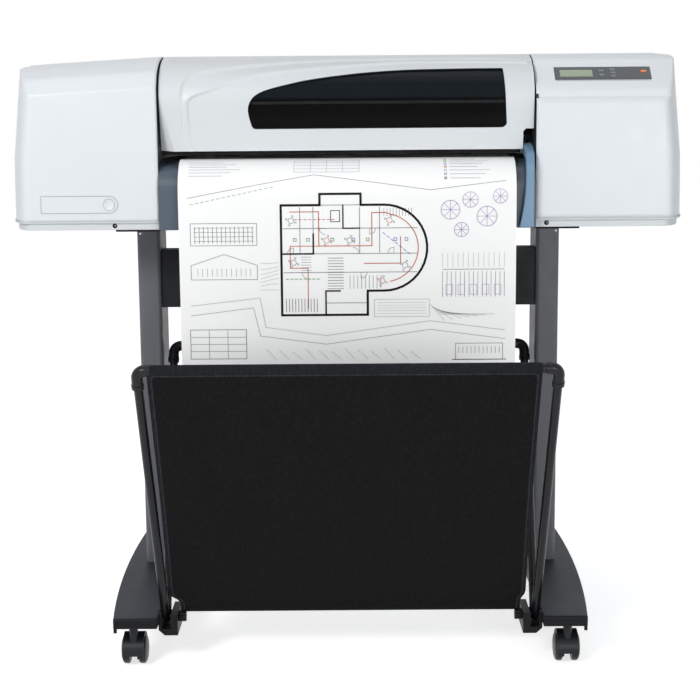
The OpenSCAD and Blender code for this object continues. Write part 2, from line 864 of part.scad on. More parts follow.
// Back and top between the modules, with the ears and pins of the window's hinge
module rear_cover() {
    half = bay - 0.5;
    back = concat(
        [[-5, cover_h], [body_back - 60, cover_h]],
        arc([body_back - 60, cover_h - 60], [60, 60], 75, 0, 6), [[body_back, roll_h + 66]]);
    ear_x = half - 100;
    color("#cfd3d6") centred() {
        translate([0, 0, z0]) along_x(-half, half) polygon(strip(back, -wall, 0));
        both_sides() {
            translate([0, win_axis_y, win_axis_z]) rod_x(barrel_r, ear_x - 10, ear_x, 0, 0);
            box([ear_x - 10, win_axis_y, win_axis_z], [ear_x, -5 + over, win_axis_z + barrel_r]);
            rod_x(hinge_pin_r, ear_x - over, ear_x + 30, win_axis_y, win_axis_z);
        }
    }
}

// Side view of the window cover's outer face, from its hinge down to its lower edge
win_path = curve(lifted([
    [win_axis_y, cover_h], [-100, cover_h], [-150, cover_h - 6], [-190, cover_h - 19], [-221, cover_h - 44],
    [-231, cover_h - 82], [-body_front + 22, win_low]
]), 3);

// Front views of the window cover's steps and of its window, as distances in from the bay's left or right
// side and below the cover's top
function from_left(d, drop) = [-bay + d, cover_h - drop];
function from_right(d, drop) = [bay - d, cover_h - drop];
brow_outer = [
    from_left(44, 117), from_left(42, 69), from_left(49, 44), from_left(76, 28),
    from_left(186, 15), [6, cover_h - 8], from_right(101, 7), from_right(14, 12)
];
brow_inner = [
    from_left(57, 159), from_left(52, 96), from_left(57, 76), from_left(85, 63),
    from_left(186, 33), [6, cover_h - 18], from_right(192, 12), from_right(14, 14)
];
glass_top = [
    from_left(170, 133), from_left(165, 90), from_left(189, 66), from_left(258, 45),
    [6, cover_h - 31], from_right(246, 24), from_right(155, 22), from_right(58, 21)
];
glass_low = [from_right(52, 130), from_right(57, 133)];

// A band of the window cover's moulding, between two depths below its face
module win_band(t0, t1) {
    half = bay - seam;
    along_x(-half, half) polygon(strip(win_path, t0, t1));
}

// Step in the window cover's face: what lies below a brow line, cut to a depth
module face_step(line, depth, reach) {
    half = bay - seam + reach;
    low = win_low - 10 - reach;
    intersection() {
        win_band(-reach, depth);
        translate([0, 0, z0]) along_y(-body_front - 20, 0)
            polygon(concat(curve(line, 3), [[half, line[len(line) - 1].y], [half, low], [line[0].x, low]]));
    }
}

// Moulding of the window cover, less its relief, its window and the slots of its hinge
module window_shell() {
    ear_x = bay - 0.5 - 100;
    difference() {
        union() {
            win_band(0, win_t);
            both_sides() rod_x(barrel_r, ear_x + near, ear_x + 60, win_axis_y, win_axis_z);
        }
        face_step(brow_outer, relief, over);
        face_step(brow_inner, 2 * relief, 2 * over);
        translate([0, 0, z0]) along_y(-body_front - 20, -60) polygon(concat(curve(glass_top, 3), glass_low));
        both_sides() {
            rod_x(hinge_pin_r + run, ear_x - over, ear_x + 40, win_axis_y, win_axis_z);
            box([ear_x - 10 - near, win_axis_y - barrel_r - 1, win_axis_z - barrel_r - 10],
                [ear_x + near, win_axis_y + 10, win_axis_z + barrel_r + over]);
        }
    }
}

// Window cover: the moulding, and at its right side the end trim that stops short above the lever
module window_frame() {
    half = bay - seam;
    trim_x = half - lever_w - 4;
    high = z0 + cover_h + 10;
    color("#d4d8da") centred() {
        difference() {
            window_shell();
            box([trim_x, -body_front - 10, base_z], [half + over, 10, high]);
        }
        intersection() {
            window_shell();
            box([trim_x + fit, -body_front - 20, z0 + win_low + 37], [half + 2 * over, 20, high + over]);
        }
    }
}

// Smoked pane, held behind the window cover's opening
module window_pane() {
    color([0.1, 0.1, 0.12, 0.6]) centred() intersection() {
        win_band(win_t + near / 2, win_t + near / 2 + pane_t);
        box([-bay + 153, -body_front, z0 + cover_h - 142], [bay - 41, -100, z0 + cover_h - 12]);
    }
}

module front_platen() {
    edge = [-platen_y + platen_r, media_z - 8 - platen_r];
    path = concat(
        [[-167, media_z - 1], edge + [0, platen_r]],
        arc(edge, [platen_r, platen_r], 105, 180, 7), [[-platen_y, base_z]]);
    color("#505c66") centred() along_x(-bay, bay) polygon(strip(path, 0, 4));
}

// Print platen in front of the drive roller and the paper guide behind it, one hollow extrusion
module print_platen() {
    low = media_z - 36;
    guide = media_z - 1.5;
    guide_end = roll_y - roll_r - 7;
    before = -roller_y - roller_r - 4;
    behind = -roller_y + roller_r + 4;
    rib = 6;
    color("#2b2e31") centred() along_x(-bay, bay) difference() {
        polygon([
            [-166, media_z - 0.5], [before, media_z - 0.5], [before, low + 8], [behind, low + 8],
            [behind, guide], [guide_end, guide - 5], [guide_end, low], [-166, low]
        ]);
        translate([-166 + rib, low + 4]) square([before + 166 - 2 * rib, 27]);
        translate([behind + rib, low + 4]) square([guide_end - behind - 2 * rib, 22]);
    }
}

// Media lever: a hub on the pivot, and an arm that curves over the front platen and hangs before it
module media_lever() {
    back = lever_face + lever_t;
    side = concat(
        arc([lever_axis_y, lever_axis_z], [hub_r, hub_r], -60, 95, 8),
        [[lever_axis_y - 25, lever_axis_z + 5]],
        arc([lever_face + 30, lever_axis_z - 28], [30, 30], 125, 180, 5),
        [[lever_face, base_z + 2], [back, base_z + 2]],
        [[back, lever_axis_z - 40], [back + 12, lever_axis_z - 20]]);
    top = lever_right - lever_w;
    front = concat(
        [[lever_right, base_z - over], [lever_right, lever_axis_z + 20]],
        [[top, lever_axis_z + 20], [top, z0 + 80]],
        [for (i = [1:6]) let (s = i / 6) [top - (lever_foot_w - lever_w) * s * s, z0 + 80 - 97 * s]]);
    color("#7aa0c4") centred() {
        intersection() {
            along_x(top - 20, lever_right + over) polygon(side);
            along_y(lever_face - over, 0) polygon(front);
        }
        rod_x(lever_pin_r, lever_right - over, bay + plate_t, lever_axis_y, lever_axis_z);
    }
}

// Beam behind the carriage, with the brackets that hold the rails and the belt's pulleys
module chassis_beam() {
    face = rail_y - 13;
    color("#a4a9ad") centred() {
        difference() {
            box([-beam_x, beam_y0, beam_z0], [beam_x, beam_y1, beam_z1]);
            box([-beam_x - over, beam_y0 + 4, beam_z0 + 4], [beam_x + over, beam_y1 - 4, beam_z1 - 4]);
        }
        for (side = [-1, 1]) mirror([side < 0 ? 1 : 0, 0, 0]) difference() {
            union() {
                box([rail_half, face, rail_low - 12], [rail_half + 8, beam_y0, rail_high + 12]);
                box([pulley_x - 28, face, rail_mid - 27], [rail_half + over, face + 3, rail_mid + 27]);
            }
            if (side > 0) rod_y(pulley_pin_r + run, face - over, face + 4, pulley_x, rail_mid);
        }
        rod_y(pulley_pin_r - run, face, face + belt_w + 4, -pulley_x, rail_mid);
    }
}

module scan_rails() {
    color("#c9ccd0") centred() for (z = [rail_low, rail_high])
        rod_x(rail_r, -rail_half, rail_half, rail_y, z);
}

// Places its children at each of the four printheads across the carriage
module at_heads() {
    for (i = [0:3]) translate([(i - 1.5) * head_step, 0, 0]) children();
}

// Carriage, parked at the right: a cradle with four pockets for printheads, and behind it the slider that
// runs on the rails and holds the belt
module carriage() {
    lug = 15;
    split = -roller_y - 20;
    slider_y = -22;
    color("#33363a") centred() translate([park_x, 0, 0]) {
        difference() {
            along_x(-car_w / 2, car_w / 2) polygon([
                [car_front, car_low], [split, car_low], [split, car_top],
                [car_front + 20, car_top], [car_front, car_top - 30]
            ]);
            translate([0, head_front, 0]) at_heads()
                box([-head_w / 2 - near, -near, car_low - over],
                    [head_w / 2 + near, head_d + near, car_top + over]);
        }
        difference() {
            along_x(-car_w / 2, car_w / 2) {
                translate([split + fit, car_step]) square([slider_y - split - fit, car_top - car_step]);
                for (z = [rail_low, rail_high]) let (low = max(z - lug, car_step))
                    translate([slider_y - over, low]) square([rail_y + lug - slider_y + over, z + lug - low]);
                translate([slider_y - over, rail_mid + pulley_r - 2])
                    square([belt_y0 - 2 * near - slider_y + over, 6]);
            }
            for (z = [rail_low, rail_high]) rod_x(rail_r + run, -car_w, car_w, rail_y, z);
        }
    }
}

module printheads() {
    grip = 12;
    color("#1b1c1f") centred() translate([park_x, head_front, 0]) at_heads() difference() {
        box([-head_w / 2, 0, car_low - 1.5], [head_w / 2, head_d, car_top + 6]);
        box([-head_w / 2 - over, grip, car_top], [head_w / 2 + over, head_d - grip, car_top + 7]);
    }
}

// Closed loop of the belt round both pulleys
module belt_loop(r) {
    square([2 * pulley_x, 2 * r], center = true);
    for (side = [-1, 1]) translate([side * pulley_x, 0]) circle(r);
}

module drive_belt() {
    color("#111111") centred() translate([0, 0, rail_mid]) along_y(belt_y0, belt_y0 + belt_w) difference() {
        belt_loop(pulley_r + near + belt_t);
        belt_loop(pulley_r + near);
    }
}

// Pulley of the scan motor, on the motor's shaft
module scan_pulley() {
    color("#b9bcc0") centred() {
        rod_y(pulley_r, belt_y0, belt_y0 + belt_w, pulley_x, rail_mid);
        rod_y(pulley_pin_r, rail_y - 13 - 6, belt_y0 + over, pulley_x, rail_mid);
    }
}

module idler_pulley() {
    color("#b9bcc0") centred() difference() {
        rod_y(pulley_r, belt_y0, belt_y0 + belt_w, -pulley_x, rail_mid);
        rod_y(pulley_pin_r, belt_y0 - over, belt_y0 + belt_w + over, -pulley_x, rail_mid);
    }
}

// Scan motor at the right end of the belt, feed motor on its foot in the left module
module drive_motors() {
    face = rail_y - 13;
    feed_x = -bay - plate_t - 14;
    color("#55595d") centred() {
        difference() {
            rod_y(motor_r, face - motor_l, face, motor_x, rail_mid);
            rod_y(pulley_pin_r + run, face - 8, face + over, motor_x, rail_mid);
        }
        difference() {
            union() {
                rod_x(motor_r, feed_x - motor_l, feed_x, -roller_y, pinion_z);
                box([feed_x - motor_l + 10, -roller_y - 15, z0],
                    [feed_x - 10, -roller_y + 15, pinion_z - motor_r / 2]);
            }
            rod_x(pulley_pin_r + run, feed_x - 12, feed_x + over, -roller_y, pinion_z);
        }
    }
}

// Outline of a gear of n teeth, module 1, with a tooth along +X
module gear_outline(n) {
    step = 360 / n;
    root = n / 2 - 1.25;
    tip = n / 2 + 1;
    polygon([for (i = [0:n - 1], k = [[root, -0.3], [tip, -0.11], [tip, 0.11], [root, 0.3]])
        [k.x * cos((i + k.y) * step), k.x * sin((i + k.y) * step)]]);
}

// Drive roller with its journals and the gear at its left end
module drive_roller() {
    gear_x = -bay - plate_t - 3;
    color("#3f4246") centred() {
        rod_x(roller_r, -bay + 14, bay - 14, -roller_y, roller_z);
        rod_x(journal_r, gear_x - 9, bay + plate_t + 2, -roller_y, roller_z);
        translate([0, -roller_y, roller_z]) along_x(gear_x - 8, gear_x) gear_outline(gear_n);
    }
}

module feed_pinion() {
    gear_x = -bay - plate_t - 3;
    color("#c8b060") centred() translate([0, -roller_y, pinion_z]) {
        along_x(gear_x - 8, gear_x) rotate(180 / pinion_n) gear_outline(pinion_n);
        rod_x(pulley_pin_r, gear_x - 21, gear_x - 7, 0, 0);
    }
}

// Bar above the drive roller that carries the pinch wheels and lifts with the lever
module pinch_bar() {
    half = bay - 17;
    color("#7d8287") centred() {
        box([-half, -roller_y - 11, pinch_axis_z - 1.5], [half, pinch_axis_y + 5, pinch_axis_z + 1.5]);
        both_sides() {
            difference() {
                box([half - 4, -roller_y - 5, pinch_z - 4], [half, -roller_y + 5, pinch_axis_z - 1]);
                rod_x(pinch_axle_r + run, half - 5, half + over, -roller_y, pinch_z);
            }
            rod_x(pinch_pin_r, half - over, bay + plate_t, pinch_axis_y, pinch_axis_z);
        }
    }
}

module pinch_wheels() {
    half = bay - 18;
    span = 2 * (half - 22);
    color("#26282b") centred() {
        rod_x(pinch_axle_r, -half, half, -roller_y, pinch_z);
        for (i = [0:pinch_n - 1]) let (x = -span / 2 + span * i / (pinch_n - 1))
            rod_x(pinch_r, x - 12, x + 12, -roller_y, pinch_z);
    }
}

// Spindle with a hub and flange at each end of the roll
module media_spindle() {
    color("#2c3f55") centred() translate([0, roll_y, z0 + roll_h]) {
        rod_x(spindle_r, -media_w / 2 - 12, media_w / 2 + 12, 0, 0);
        rod_x(spindle_end_r, -bay + near, bay - near, 0, 0);
        both_sides() {
            rod_x(core_r - run, media_w / 2 - 25, media_w / 2 + over, 0, 0);
            rod_x(core_r + 8, media_w / 2 + near, media_w / 2 + 6, 0, 0);
        }
    }
}

module media_roll() {
    color("#f2f2ef") centred() translate([0, roll_y, z0 + roll_h]) difference() {
        rod_x(roll_r, -media_w / 2, media_w / 2, 0, 0);
        rod_x(core_r, -media_w / 2 - over, media_w / 2 + over, 0, 0);
    }
}

// Sheet from the roll over the platens, and down into the bin
module media_sheet() {
    bend = hang_y + lever_axis_y;
    path = concat(
        [[roll_y, z0 + roll_h + roll_r + near], [-roller_y + 8, media_z + 0.2], [-166, media_z + 0.2]],
        arc([lever_axis_y, media_z - 5 - bend], [bend, bend], 90, 180, 8), [[-hang_y, sheet_end]]);
    color("#f5f5f3") centred() along_x(-media_w / 2, media_w / 2) polygon(strip(path, -sheet_t, 0));
}

// Capping station under the parked carriage, with a cap for each printhead
module service_station() {
    top = car_low - 10;
    color("#3b3e42") centred() translate([park_x, 0, 0]) {
        difference() {
            box([-car_w / 2 + 2, -152, z0], [car_w / 2 - 2, -60, top]);
            box([-car_w / 2 + 5, -149, z0 - over], [car_w / 2 - 5, -63, top - 3]);
        }
        at_heads() difference() {
            box([-head_w / 2, -140, top - over], [head_w / 2, -72, top + 6]);
            box([-head_w / 2 + 3, -137, top + 2], [head_w / 2 - 3, -75, top + 7]);
        }
    }
}

// Tray in the left module with a bay for each ink cartridge
module ink_station() {
    color("#2d3034") centred() difference() {
        box([ink_x0 - 4, -150, z0], [ink_x0 + 4 * (ink_w + 2) + 2, -40, z0 + ink_low + 30]);
        for (i = [0:3]) translate([ink_x0 + i * (ink_w + 2), 0, 0])
            box([-near, -146 - near, z0 + ink_low], [ink_w + near, -46 + near, z0 + ink_low + 31]);
        box([ink_x0, -146, z0 - over], [ink_x0 + 4 * (ink_w + 2) - 2, -46, z0 + ink_low - 4]);
    }
}

module ink_cartridges() {
    color("#1f2124") centred() for (i = [0:3]) translate([ink_x0 + i * (ink_w + 2), 0, 0]) difference() {
        box([0, -146, z0 + ink_low], [ink_w, -46, z0 + ink_low + ink_h]);
        box([-over, -90, z0 + ink_low + ink_h - 12], [ink_w + over, -60, z0 + ink_low + ink_h + over]);
    }
}

// Box of the electronics, with the inlet panel that shows in the right cover's back
module electronics_box() {
    back = body_back - wall - 5;
    color("#9aa0a4") centred() difference() {
        union() {
            box([bay + 22, back - 90, z0], [right_end - 30, back, z0 + 165]);
            box([inlet_x0 + near, back - over, z0 + 22 + near],
                [inlet_x1 - near, body_back - 1, z0 + 82 - near]);
        }
        box([bay + 25, back - 91, z0 + 3], [right_end - 33, back - 3, z0 + 162]);
        box([inlet_x0 + 10, back + 1, z0 + 40], [inlet_x0 + 38, body_back, z0 + 62]);
        box([inlet_x0 + 52, back + 1, z0 + 44], [inlet_x0 + 66, body_back, z0 + 58]);
    }
}

// Keys of the control panel: across and up from the panel's centre
key_places = [[-2, 6], [-2, -6], [19, 9], [19, 0], [19, -9], [75, 4]];

// A block the size of a key in plan, grown by gap, between two heights over the sloping face
module key_block(p, gap, low, high) {
    half = [key_w / 2 + gap, key_l / 2 + gap];
    on_slope(p.x, p.y) box([-half.x, -half.y, low], [half.x, half.y, high]);
}

module control_panel() {
    color("#3e4448") centred() difference() {
        on_slope(-panel_w / 2, -panel_l / 2) translate([0, 0, -panel_sunk]) cube([panel_w, panel_l, panel_t]);
        for (p = key_places) key_block(p, key_gap, -panel_sunk - over, panel_t);
        on_slope(lcd_x - lcd_w / 2, -lcd_l / 2) translate([0, 0, -0.5]) cube([lcd_w, lcd_l, 5]);
    }
}

module lcd_screen() {
    color("#87967a") centred() on_slope(lcd_x - lcd_w / 2 + 0.1, -lcd_l / 2 + 0.1) translate([0, 0, -0.5])
        cube([lcd_w - 0.2, lcd_l - 0.2, 1.2]);
}

module key(i) {
    color(i == 5 ? "#e07a30" : "#6a7074") centred() key_block(key_places[i], 0, key_low, key_high);
}

left_foot();
right_foot();
foot_end_caps();
left_leg();
right_leg();
cross_brace();
caster_hood(-1, -1);  // caster_hood_fl
caster_hood(1, -1);  // caster_hood_fr
caster_hood(-1, 1);  // caster_hood_rl
caster_hood(1, 1);  // caster_hood_rr
caster_wheels(-1, -1);  // caster_wheels_fl
caster_wheels(1, -1);  // caster_wheels_fr
caster_wheels(-1, 1);  // caster_wheels_rl
caster_wheels(1, 1);  // caster_wheels_rr
bin_brackets();
bin_rear_frame();
bin_rear_fabric();
bin_front_frame();
bin_front_fabric();
bin_knob(-1);  // bin_knob_left
bin_knob(1);  // bin_knob_right
base_pan();
side_plates();
left_cover();
right_cover();
service_door();
ink_lid();
rear_cover();
window_frame();
window_pane();
front_platen();
print_platen();
media_lever();
chassis_beam();
scan_rails();
carriage();
printheads();
drive_belt();
scan_pulley();
idler_pulley();
drive_motors();
drive_roller();
feed_pinion();
pinch_bar();
pinch_wheels();
media_spindle();
media_roll();
media_sheet();
service_station();
ink_station();
ink_cartridges();
electronics_box();
control_panel();
lcd_screen();
key(0);  // key_menu
key(1);  // key_back
key(2);  // key_up
key(3);  // key_enter
key(4);  // key_down
key(5);  // key_power
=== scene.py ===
"""Looks of the large format plotter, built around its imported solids. Lengths below are millimetres from the
legs' centre plane (depth) and the floor (height) until at() turns them into metres in the shared frame."""
import math

import bmesh
import bpy
import numpy as np
from mathutils import Matrix, Vector


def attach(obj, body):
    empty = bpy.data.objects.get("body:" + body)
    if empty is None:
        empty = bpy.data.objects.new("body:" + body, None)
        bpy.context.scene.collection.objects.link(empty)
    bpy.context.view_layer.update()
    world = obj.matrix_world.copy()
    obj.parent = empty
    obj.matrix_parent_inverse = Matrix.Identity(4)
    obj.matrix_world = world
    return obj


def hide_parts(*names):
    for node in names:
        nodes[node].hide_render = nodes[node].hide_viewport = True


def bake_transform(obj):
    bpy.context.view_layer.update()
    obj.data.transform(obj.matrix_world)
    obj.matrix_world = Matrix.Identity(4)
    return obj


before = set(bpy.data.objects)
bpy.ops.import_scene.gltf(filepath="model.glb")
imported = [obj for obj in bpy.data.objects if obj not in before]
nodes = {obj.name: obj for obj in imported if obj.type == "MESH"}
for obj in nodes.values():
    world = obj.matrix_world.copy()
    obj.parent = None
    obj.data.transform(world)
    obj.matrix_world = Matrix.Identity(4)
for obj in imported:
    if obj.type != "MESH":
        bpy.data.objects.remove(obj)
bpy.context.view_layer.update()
scene = bpy.context.scene

# Shared sizes
DEPTH_SHIFT = 123.12835  # from the legs' centre plane to the frame's middle
Z0 = 803.0  # foot of the covers
COVER = 297.0  # height of the covers above their foot
BAY = 343.0  # half the bay between the end modules
FRONT = -240.0
BACK = 230.0
END = 627.0  # half the whole width
END_TAPER = 18.0  # how far an end leans in up to its shoulder
END_ROUND = 16.0  # radius of the shoulder
SHOULDER = END - END_TAPER - END_ROUND  # where the shoulder's curve begins
KNEE_IN, KNEE_Z = 1.8, 110.0  # an end leans in this little up to this height, and more above it
KNEE = END - KNEE_IN
BACK_ROUND = 45.0  # radius of the upper and outer rear edges
WALL = 3.0  # thickness of the moulded covers
HANG = -270.0  # plane of the hanging sheet
MEDIA_Z = 912.0  # top of the print platen
FORWARD = (0, -1, 0)


def at(p):
    """Millimetres from the legs' plane to metres in the shared frame."""
    p = np.asarray(p, float)
    out = p * 0.001
    out[..., 1] += DEPTH_SHIFT * 0.001
    return out


def rgb(code):
    """Linear colour of a hex code."""
    v = [int(code[i:i + 2], 16) / 255 for i in (1, 3, 5)]
    return [c / 12.92 if c <= 0.04045 else ((c + 0.055) / 1.055) ** 2.4 for c in v] + [1.0]


# Materials

def new_material(name):
    m = bpy.data.materials.new(name)
    m.use_nodes = True
    tree = m.node_tree
    return m, tree, tree.nodes["Principled BSDF"]


def put(n, **inputs):
    """Sets inputs of a node by their names, written with _ for a space."""
    for key, value in inputs.items():
        n.inputs[key.replace("_", " ")].default_value = value
    return n


def node(tree, kind, **inputs):
    return put(tree.nodes.new(kind), **inputs)


def object_coords(tree):
    return tree.nodes.new("ShaderNodeTexCoord").outputs["Object"]


def noise(tree, scale, detail=3.0, stretch=None):
    """Noise over the object's own coordinates, stretched by a factor on each axis."""
    where = object_coords(tree)
    if stretch:
        mapping = node(tree, "ShaderNodeMapping", Scale=stretch)
        tree.links.new(where, mapping.inputs["Vector"])
        where = mapping.outputs["Vector"]
    n = node(tree, "ShaderNodeTexNoise", Scale=scale, Detail=detail)
    tree.links.new(where, n.inputs["Vector"])
    return n.outputs["Fac"]


def ramp(tree, factor, low, high, lo=0.35, hi=0.65):
    r = tree.nodes.new("ShaderNodeValToRGB")
    for stop, position, color in zip(r.color_ramp.elements, (lo, hi), (low, high)):
        stop.position = position
        stop.color = color
    tree.links.new(factor, r.inputs["Fac"])
    return r.outputs["Color"]


def shade(color, k):
    return [min(1.0, c * k) for c in color[:3]] + [1.0]


def grey(value):
    return [value] * 3 + [1.0]


def bump(tree, shader, height, strength, distance):
    b = node(tree, "ShaderNodeBump", Strength=strength, Distance=distance)
    tree.links.new(height, b.inputs["Height"])
    tree.links.new(b.outputs["Normal"], shader.inputs["Normal"])


def moulded(name, code, rough=0.45, grain=900.0, depth=0.25, spread=0.05, coat=0.0, specular=0.5, wear=0.12):
    """Moulded or painted surface: a fine grain, a slow drift of colour and a little wear in the roughness."""
    m, tree, shader = new_material(name)
    base = rgb(code)
    tint = ramp(tree, noise(tree, 6.0, 4.0), shade(base, 1 - spread), shade(base, 1 + spread * 0.6))
    tree.links.new(tint, shader.inputs["Base Color"])
    worn = ramp(tree, noise(tree, 40.0, 5.0), grey(rough * (1 - wear)), grey(rough * (1 + wear)))
    tree.links.new(worn, shader.inputs["Roughness"])
    put(shader, Specular_IOR_Level=specular, Coat_Weight=coat, Coat_Roughness=0.12)
    bump(tree, shader, noise(tree, grain, 2.0), depth, 0.0003)
    return m


def brushed(name, code, rough=0.3, along=(4.0, 300.0, 300.0)):
    """Metal drawn or brushed along one axis."""
    m, tree, shader = new_material(name)
    base = rgb(code)
    lines = noise(tree, 30.0, 6.0, along)
    tree.links.new(ramp(tree, lines, shade(base, 0.8), shade(base, 1.1)), shader.inputs["Base Color"])
    tree.links.new(ramp(tree, lines, grey(rough * 0.7), grey(rough * 1.3)), shader.inputs["Roughness"])
    put(shader, Metallic=0.9)
    bump(tree, shader, lines, 0.15, 0.0002)
    return m


def wave(tree, scale, direction):
    w = node(tree, "ShaderNodeTexWave", Scale=scale, Distortion=0.6, Detail=1.0, Detail_Scale=2.0)
    w.bands_direction = direction
    tree.links.new(object_coords(tree), w.inputs["Vector"])
    return w.outputs["Fac"]


def math_node(tree, operation, a, b=None):
    """A Math node of a socket and a number or another socket."""
    n = tree.nodes.new("ShaderNodeMath")
    n.operation = operation
    for socket, value in zip(n.inputs, (a, b)):
        if isinstance(value, (int, float)):
            socket.default_value = value
        elif value is not None:
            tree.links.new(value, socket)
    return n.outputs[0]


def mix_colors(tree, factor, a, b):
    n = tree.nodes.new("ShaderNodeMix")
    n.data_type = "RGBA"
    for socket, value in ((n.inputs[0], factor), (n.inputs[6], a), (n.inputs[7], b)):
        tree.links.new(value, socket)
    return n.outputs[2]


def split_coords(tree):
    split = tree.nodes.new("ShaderNodeSeparateXYZ")
    tree.links.new(object_coords(tree), split.inputs[0])
    return split.outputs


def canvas(name, code, hem, thread):
    """Plain weave canvas with slubs along the threads, paler where it is folded over in a hem or sleeve, a painted
    highlight along the cloth's edges, and stitched there. The mesh holds each point's distance to the hem's inner
    edge in millimetres, below zero inside the hem."""
    seam_in, half_thread = 2.2, 0.45  # millimetres from the hem's edge, and half the thread's width
    stitches, gap = 220.0, 0.3  # to the metre, and the share of each that is hidden
    threads = 190.0
    m, tree, shader = new_material(name)
    slubs = noise(tree, 260.0, 3.0, (1.0, 1.0, 0.25))
    plain, hem_painted_highlight, sewn = [ramp(tree, slubs, shade(rgb(c), 0.75), shade(rgb(c), 1.4), 0.3, 0.72)
                            for c in (code, hem, thread)]
    edge = tree.nodes.new("ShaderNodeAttribute")
    edge.attribute_name = "hem_mm"
    inner = edge.outputs["Fac"]
    where = split_coords(tree)
    run = math_node(tree, "ADD", where["X"], where["Z"])
    beat = math_node(tree, "FRACT", math_node(tree, "MULTIPLY", run, stitches))
    off_seam = math_node(tree, "ABSOLUTE", math_node(tree, "ADD", inner, seam_in))
    stitch = math_node(tree, "MULTIPLY", math_node(tree, "GREATER_THAN", beat, gap),
                       math_node(tree, "LESS_THAN", off_seam, half_thread))
    # painted highlight: the hems and sleeves take the paler colour
    cloth_tone = mix_colors(tree, math_node(tree, "LESS_THAN", inner, 0.0), plain, hem_painted_highlight)
    tree.links.new(mix_colors(tree, stitch, cloth_tone, sewn), shader.inputs["Base Color"])
    put(shader, Roughness=0.88, Specular_IOR_Level=0.08, Sheen_Weight=0.02, Sheen_Roughness=0.5)
    weave = math_node(tree, "MULTIPLY", wave(tree, threads, "X"), wave(tree, threads, "Z"))
    bump(tree, shader, weave, 0.5, 0.0006)
    return m


def smoked(name):
    """Smoked pane with a painted reflection: the upper part, which lies back, is coloured a little bluer than the
    upright lower part, as if it mirrored the room.
    """
    m, tree, shader = new_material(name)
    painted_reflection_band = node(tree, "ShaderNodeMapRange", From_Min=1.020, From_Max=1.025)
    tree.links.new(split_coords(tree)["Z"], painted_reflection_band.inputs["Value"])
    # painted reflection: near black below the bend, a bluer grey above it
    tone = ramp(tree, painted_reflection_band.outputs["Result"], rgb("#050506"), rgb("#161c22"), 0.0, 1.0)
    tree.links.new(tone, shader.inputs["Base Color"])
    tree.links.new(ramp(tree, noise(tree, 30.0), grey(0.06), grey(0.1)), shader.inputs["Roughness"])
    put(shader, Alpha=0.9, Specular_IOR_Level=0.06)
    return m


def ink(name, code):
    m, tree, shader = new_material(name)
    base = rgb(code)
    tone = ramp(tree, noise(tree, 900.0), shade(base, 0.92), shade(base, 1.05))
    tree.links.new(tone, shader.inputs["Base Color"])
    put(shader, Roughness=0.6, Specular_IOR_Level=0.2)
    return m


# Name, colour, roughness, grain, its depth and the spread of the colour
MAT = {
    "cover": moulded("cover_plastic", "#dfe3e6", 0.42, 1400.0, 0.1, 0.012),
    "hood": moulded("hood_plastic", "#d6dadc", 0.42, 1400.0, 0.1, 0.012),
    "top": moulded("top_plastic", "#cdd1d4", 0.45, 1400.0, 0.1, 0.012),
    "lip": moulded("base_paint", "#d4d8da", 0.5, 1200.0, 0.1, 0.02),
    "stand": moulded("stand_paint", "#65666b", 0.5, 1600.0, 0.2, 0.03, specular=0.4),
    "foot": moulded("foot_paint", "#2b3038", 0.5, 1600.0, 0.12, 0.02, specular=0.15, wear=0.03),
    "brace": moulded("brace_paint", "#131519", 0.55, 1600.0, 0.3, 0.06, specular=0.25),
    "black": moulded("black_plastic", "#111214", 0.42, 1100.0, 0.25, 0.08, specular=0.15),
    "tube": moulded("tube_paint", "#141517", 0.28, 1500.0, 0.15, 0.05, specular=0.25, wear=0.06),
    "caster": moulded("caster_plastic", "#191b1f", 0.36, 900.0, 0.2, 0.06, specular=0.25),
    "slate": moulded("slate_plastic", "#485460", 0.38, 1200.0, 0.15, 0.03),
    "lever": moulded("lever_plastic", "#6a8ba7", 0.36, 1200.0, 0.12, 0.03),
    "inner": moulded("inner_plastic", "#2a2d31", 0.5, 900.0, 0.3, 0.08),
    "steel": brushed("sheet_steel", "#9aa0a4", 0.38),
    "alu": brushed("chassis_metal", "#b4b9bd", 0.34),
    "rail": brushed("rail_steel", "#c8ccd0", 0.16, (3.0, 500.0, 500.0)),
    "rubber": moulded("roller_rubber", "#1b1c1e", 0.75, 2200.0, 0.7, 0.12, specular=0.25),
    "brass": brushed("gear_brass", "#b99b52", 0.3),
    "panel": moulded("panel_plastic", "#3d4347", 0.3, 1500.0, 0.1, 0.04),
    "lcd": moulded("display", "#8c9b80", 0.18, 60.0, 0.02, 0.06, coat=0.3),
    "key": moulded("key_plastic", "#6d7377", 0.4, 1500.0, 0.15, 0.04),
    "amber": moulded("key_lit", "#e0823a", 0.3, 1500.0, 0.1, 0.06),
    # the canvas's second colour is a painted highlight along its hems and sleeves
    "canvas": canvas("canvas", "#141415", "#1f2023", "#45464a"),
    "paper": moulded("media_paper", "#fcfcfb", 0.62, 700.0, 0.06, 0.01, specular=0.25),
    "roll": moulded("media_roll", "#ecece9", 0.65, 500.0, 0.1, 0.02, specular=0.25),
    "pane": smoked("smoked_pane"),
    "screw": brushed("screw_steel", "#55595c", 0.35),
    "seam": moulded("seam_grey", "#a9aeb2", 0.5, 1500.0, 0.1, 0.03),
    # near black: real dark pieces, and pieces that paint the shade of a gap or recess
    "shadow": moulded("black_and_painted_shade", "#0c0d0e", 0.7, 900.0, 0.1, 0.1, specular=0.2),
}


# Mesh helpers

def make(name, points, faces, body, material, replaces=(), smooth=True):
    """A mesh from millimetre points, riding on a body."""
    mesh = bpy.data.meshes.new(name)
    mesh.from_pydata([tuple(p) for p in at(points)], [], faces)
    mesh.validate()
    mesh.update()
    if smooth:
        mesh.polygons.foreach_set("use_smooth", [True] * len(mesh.polygons))
    obj = bpy.data.objects.new(name, mesh)
    scene.collection.objects.link(obj)
    mesh.materials.append(MAT[material])
    if body:
        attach(obj, body)
    if replaces:
        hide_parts(*replaces)
    return obj


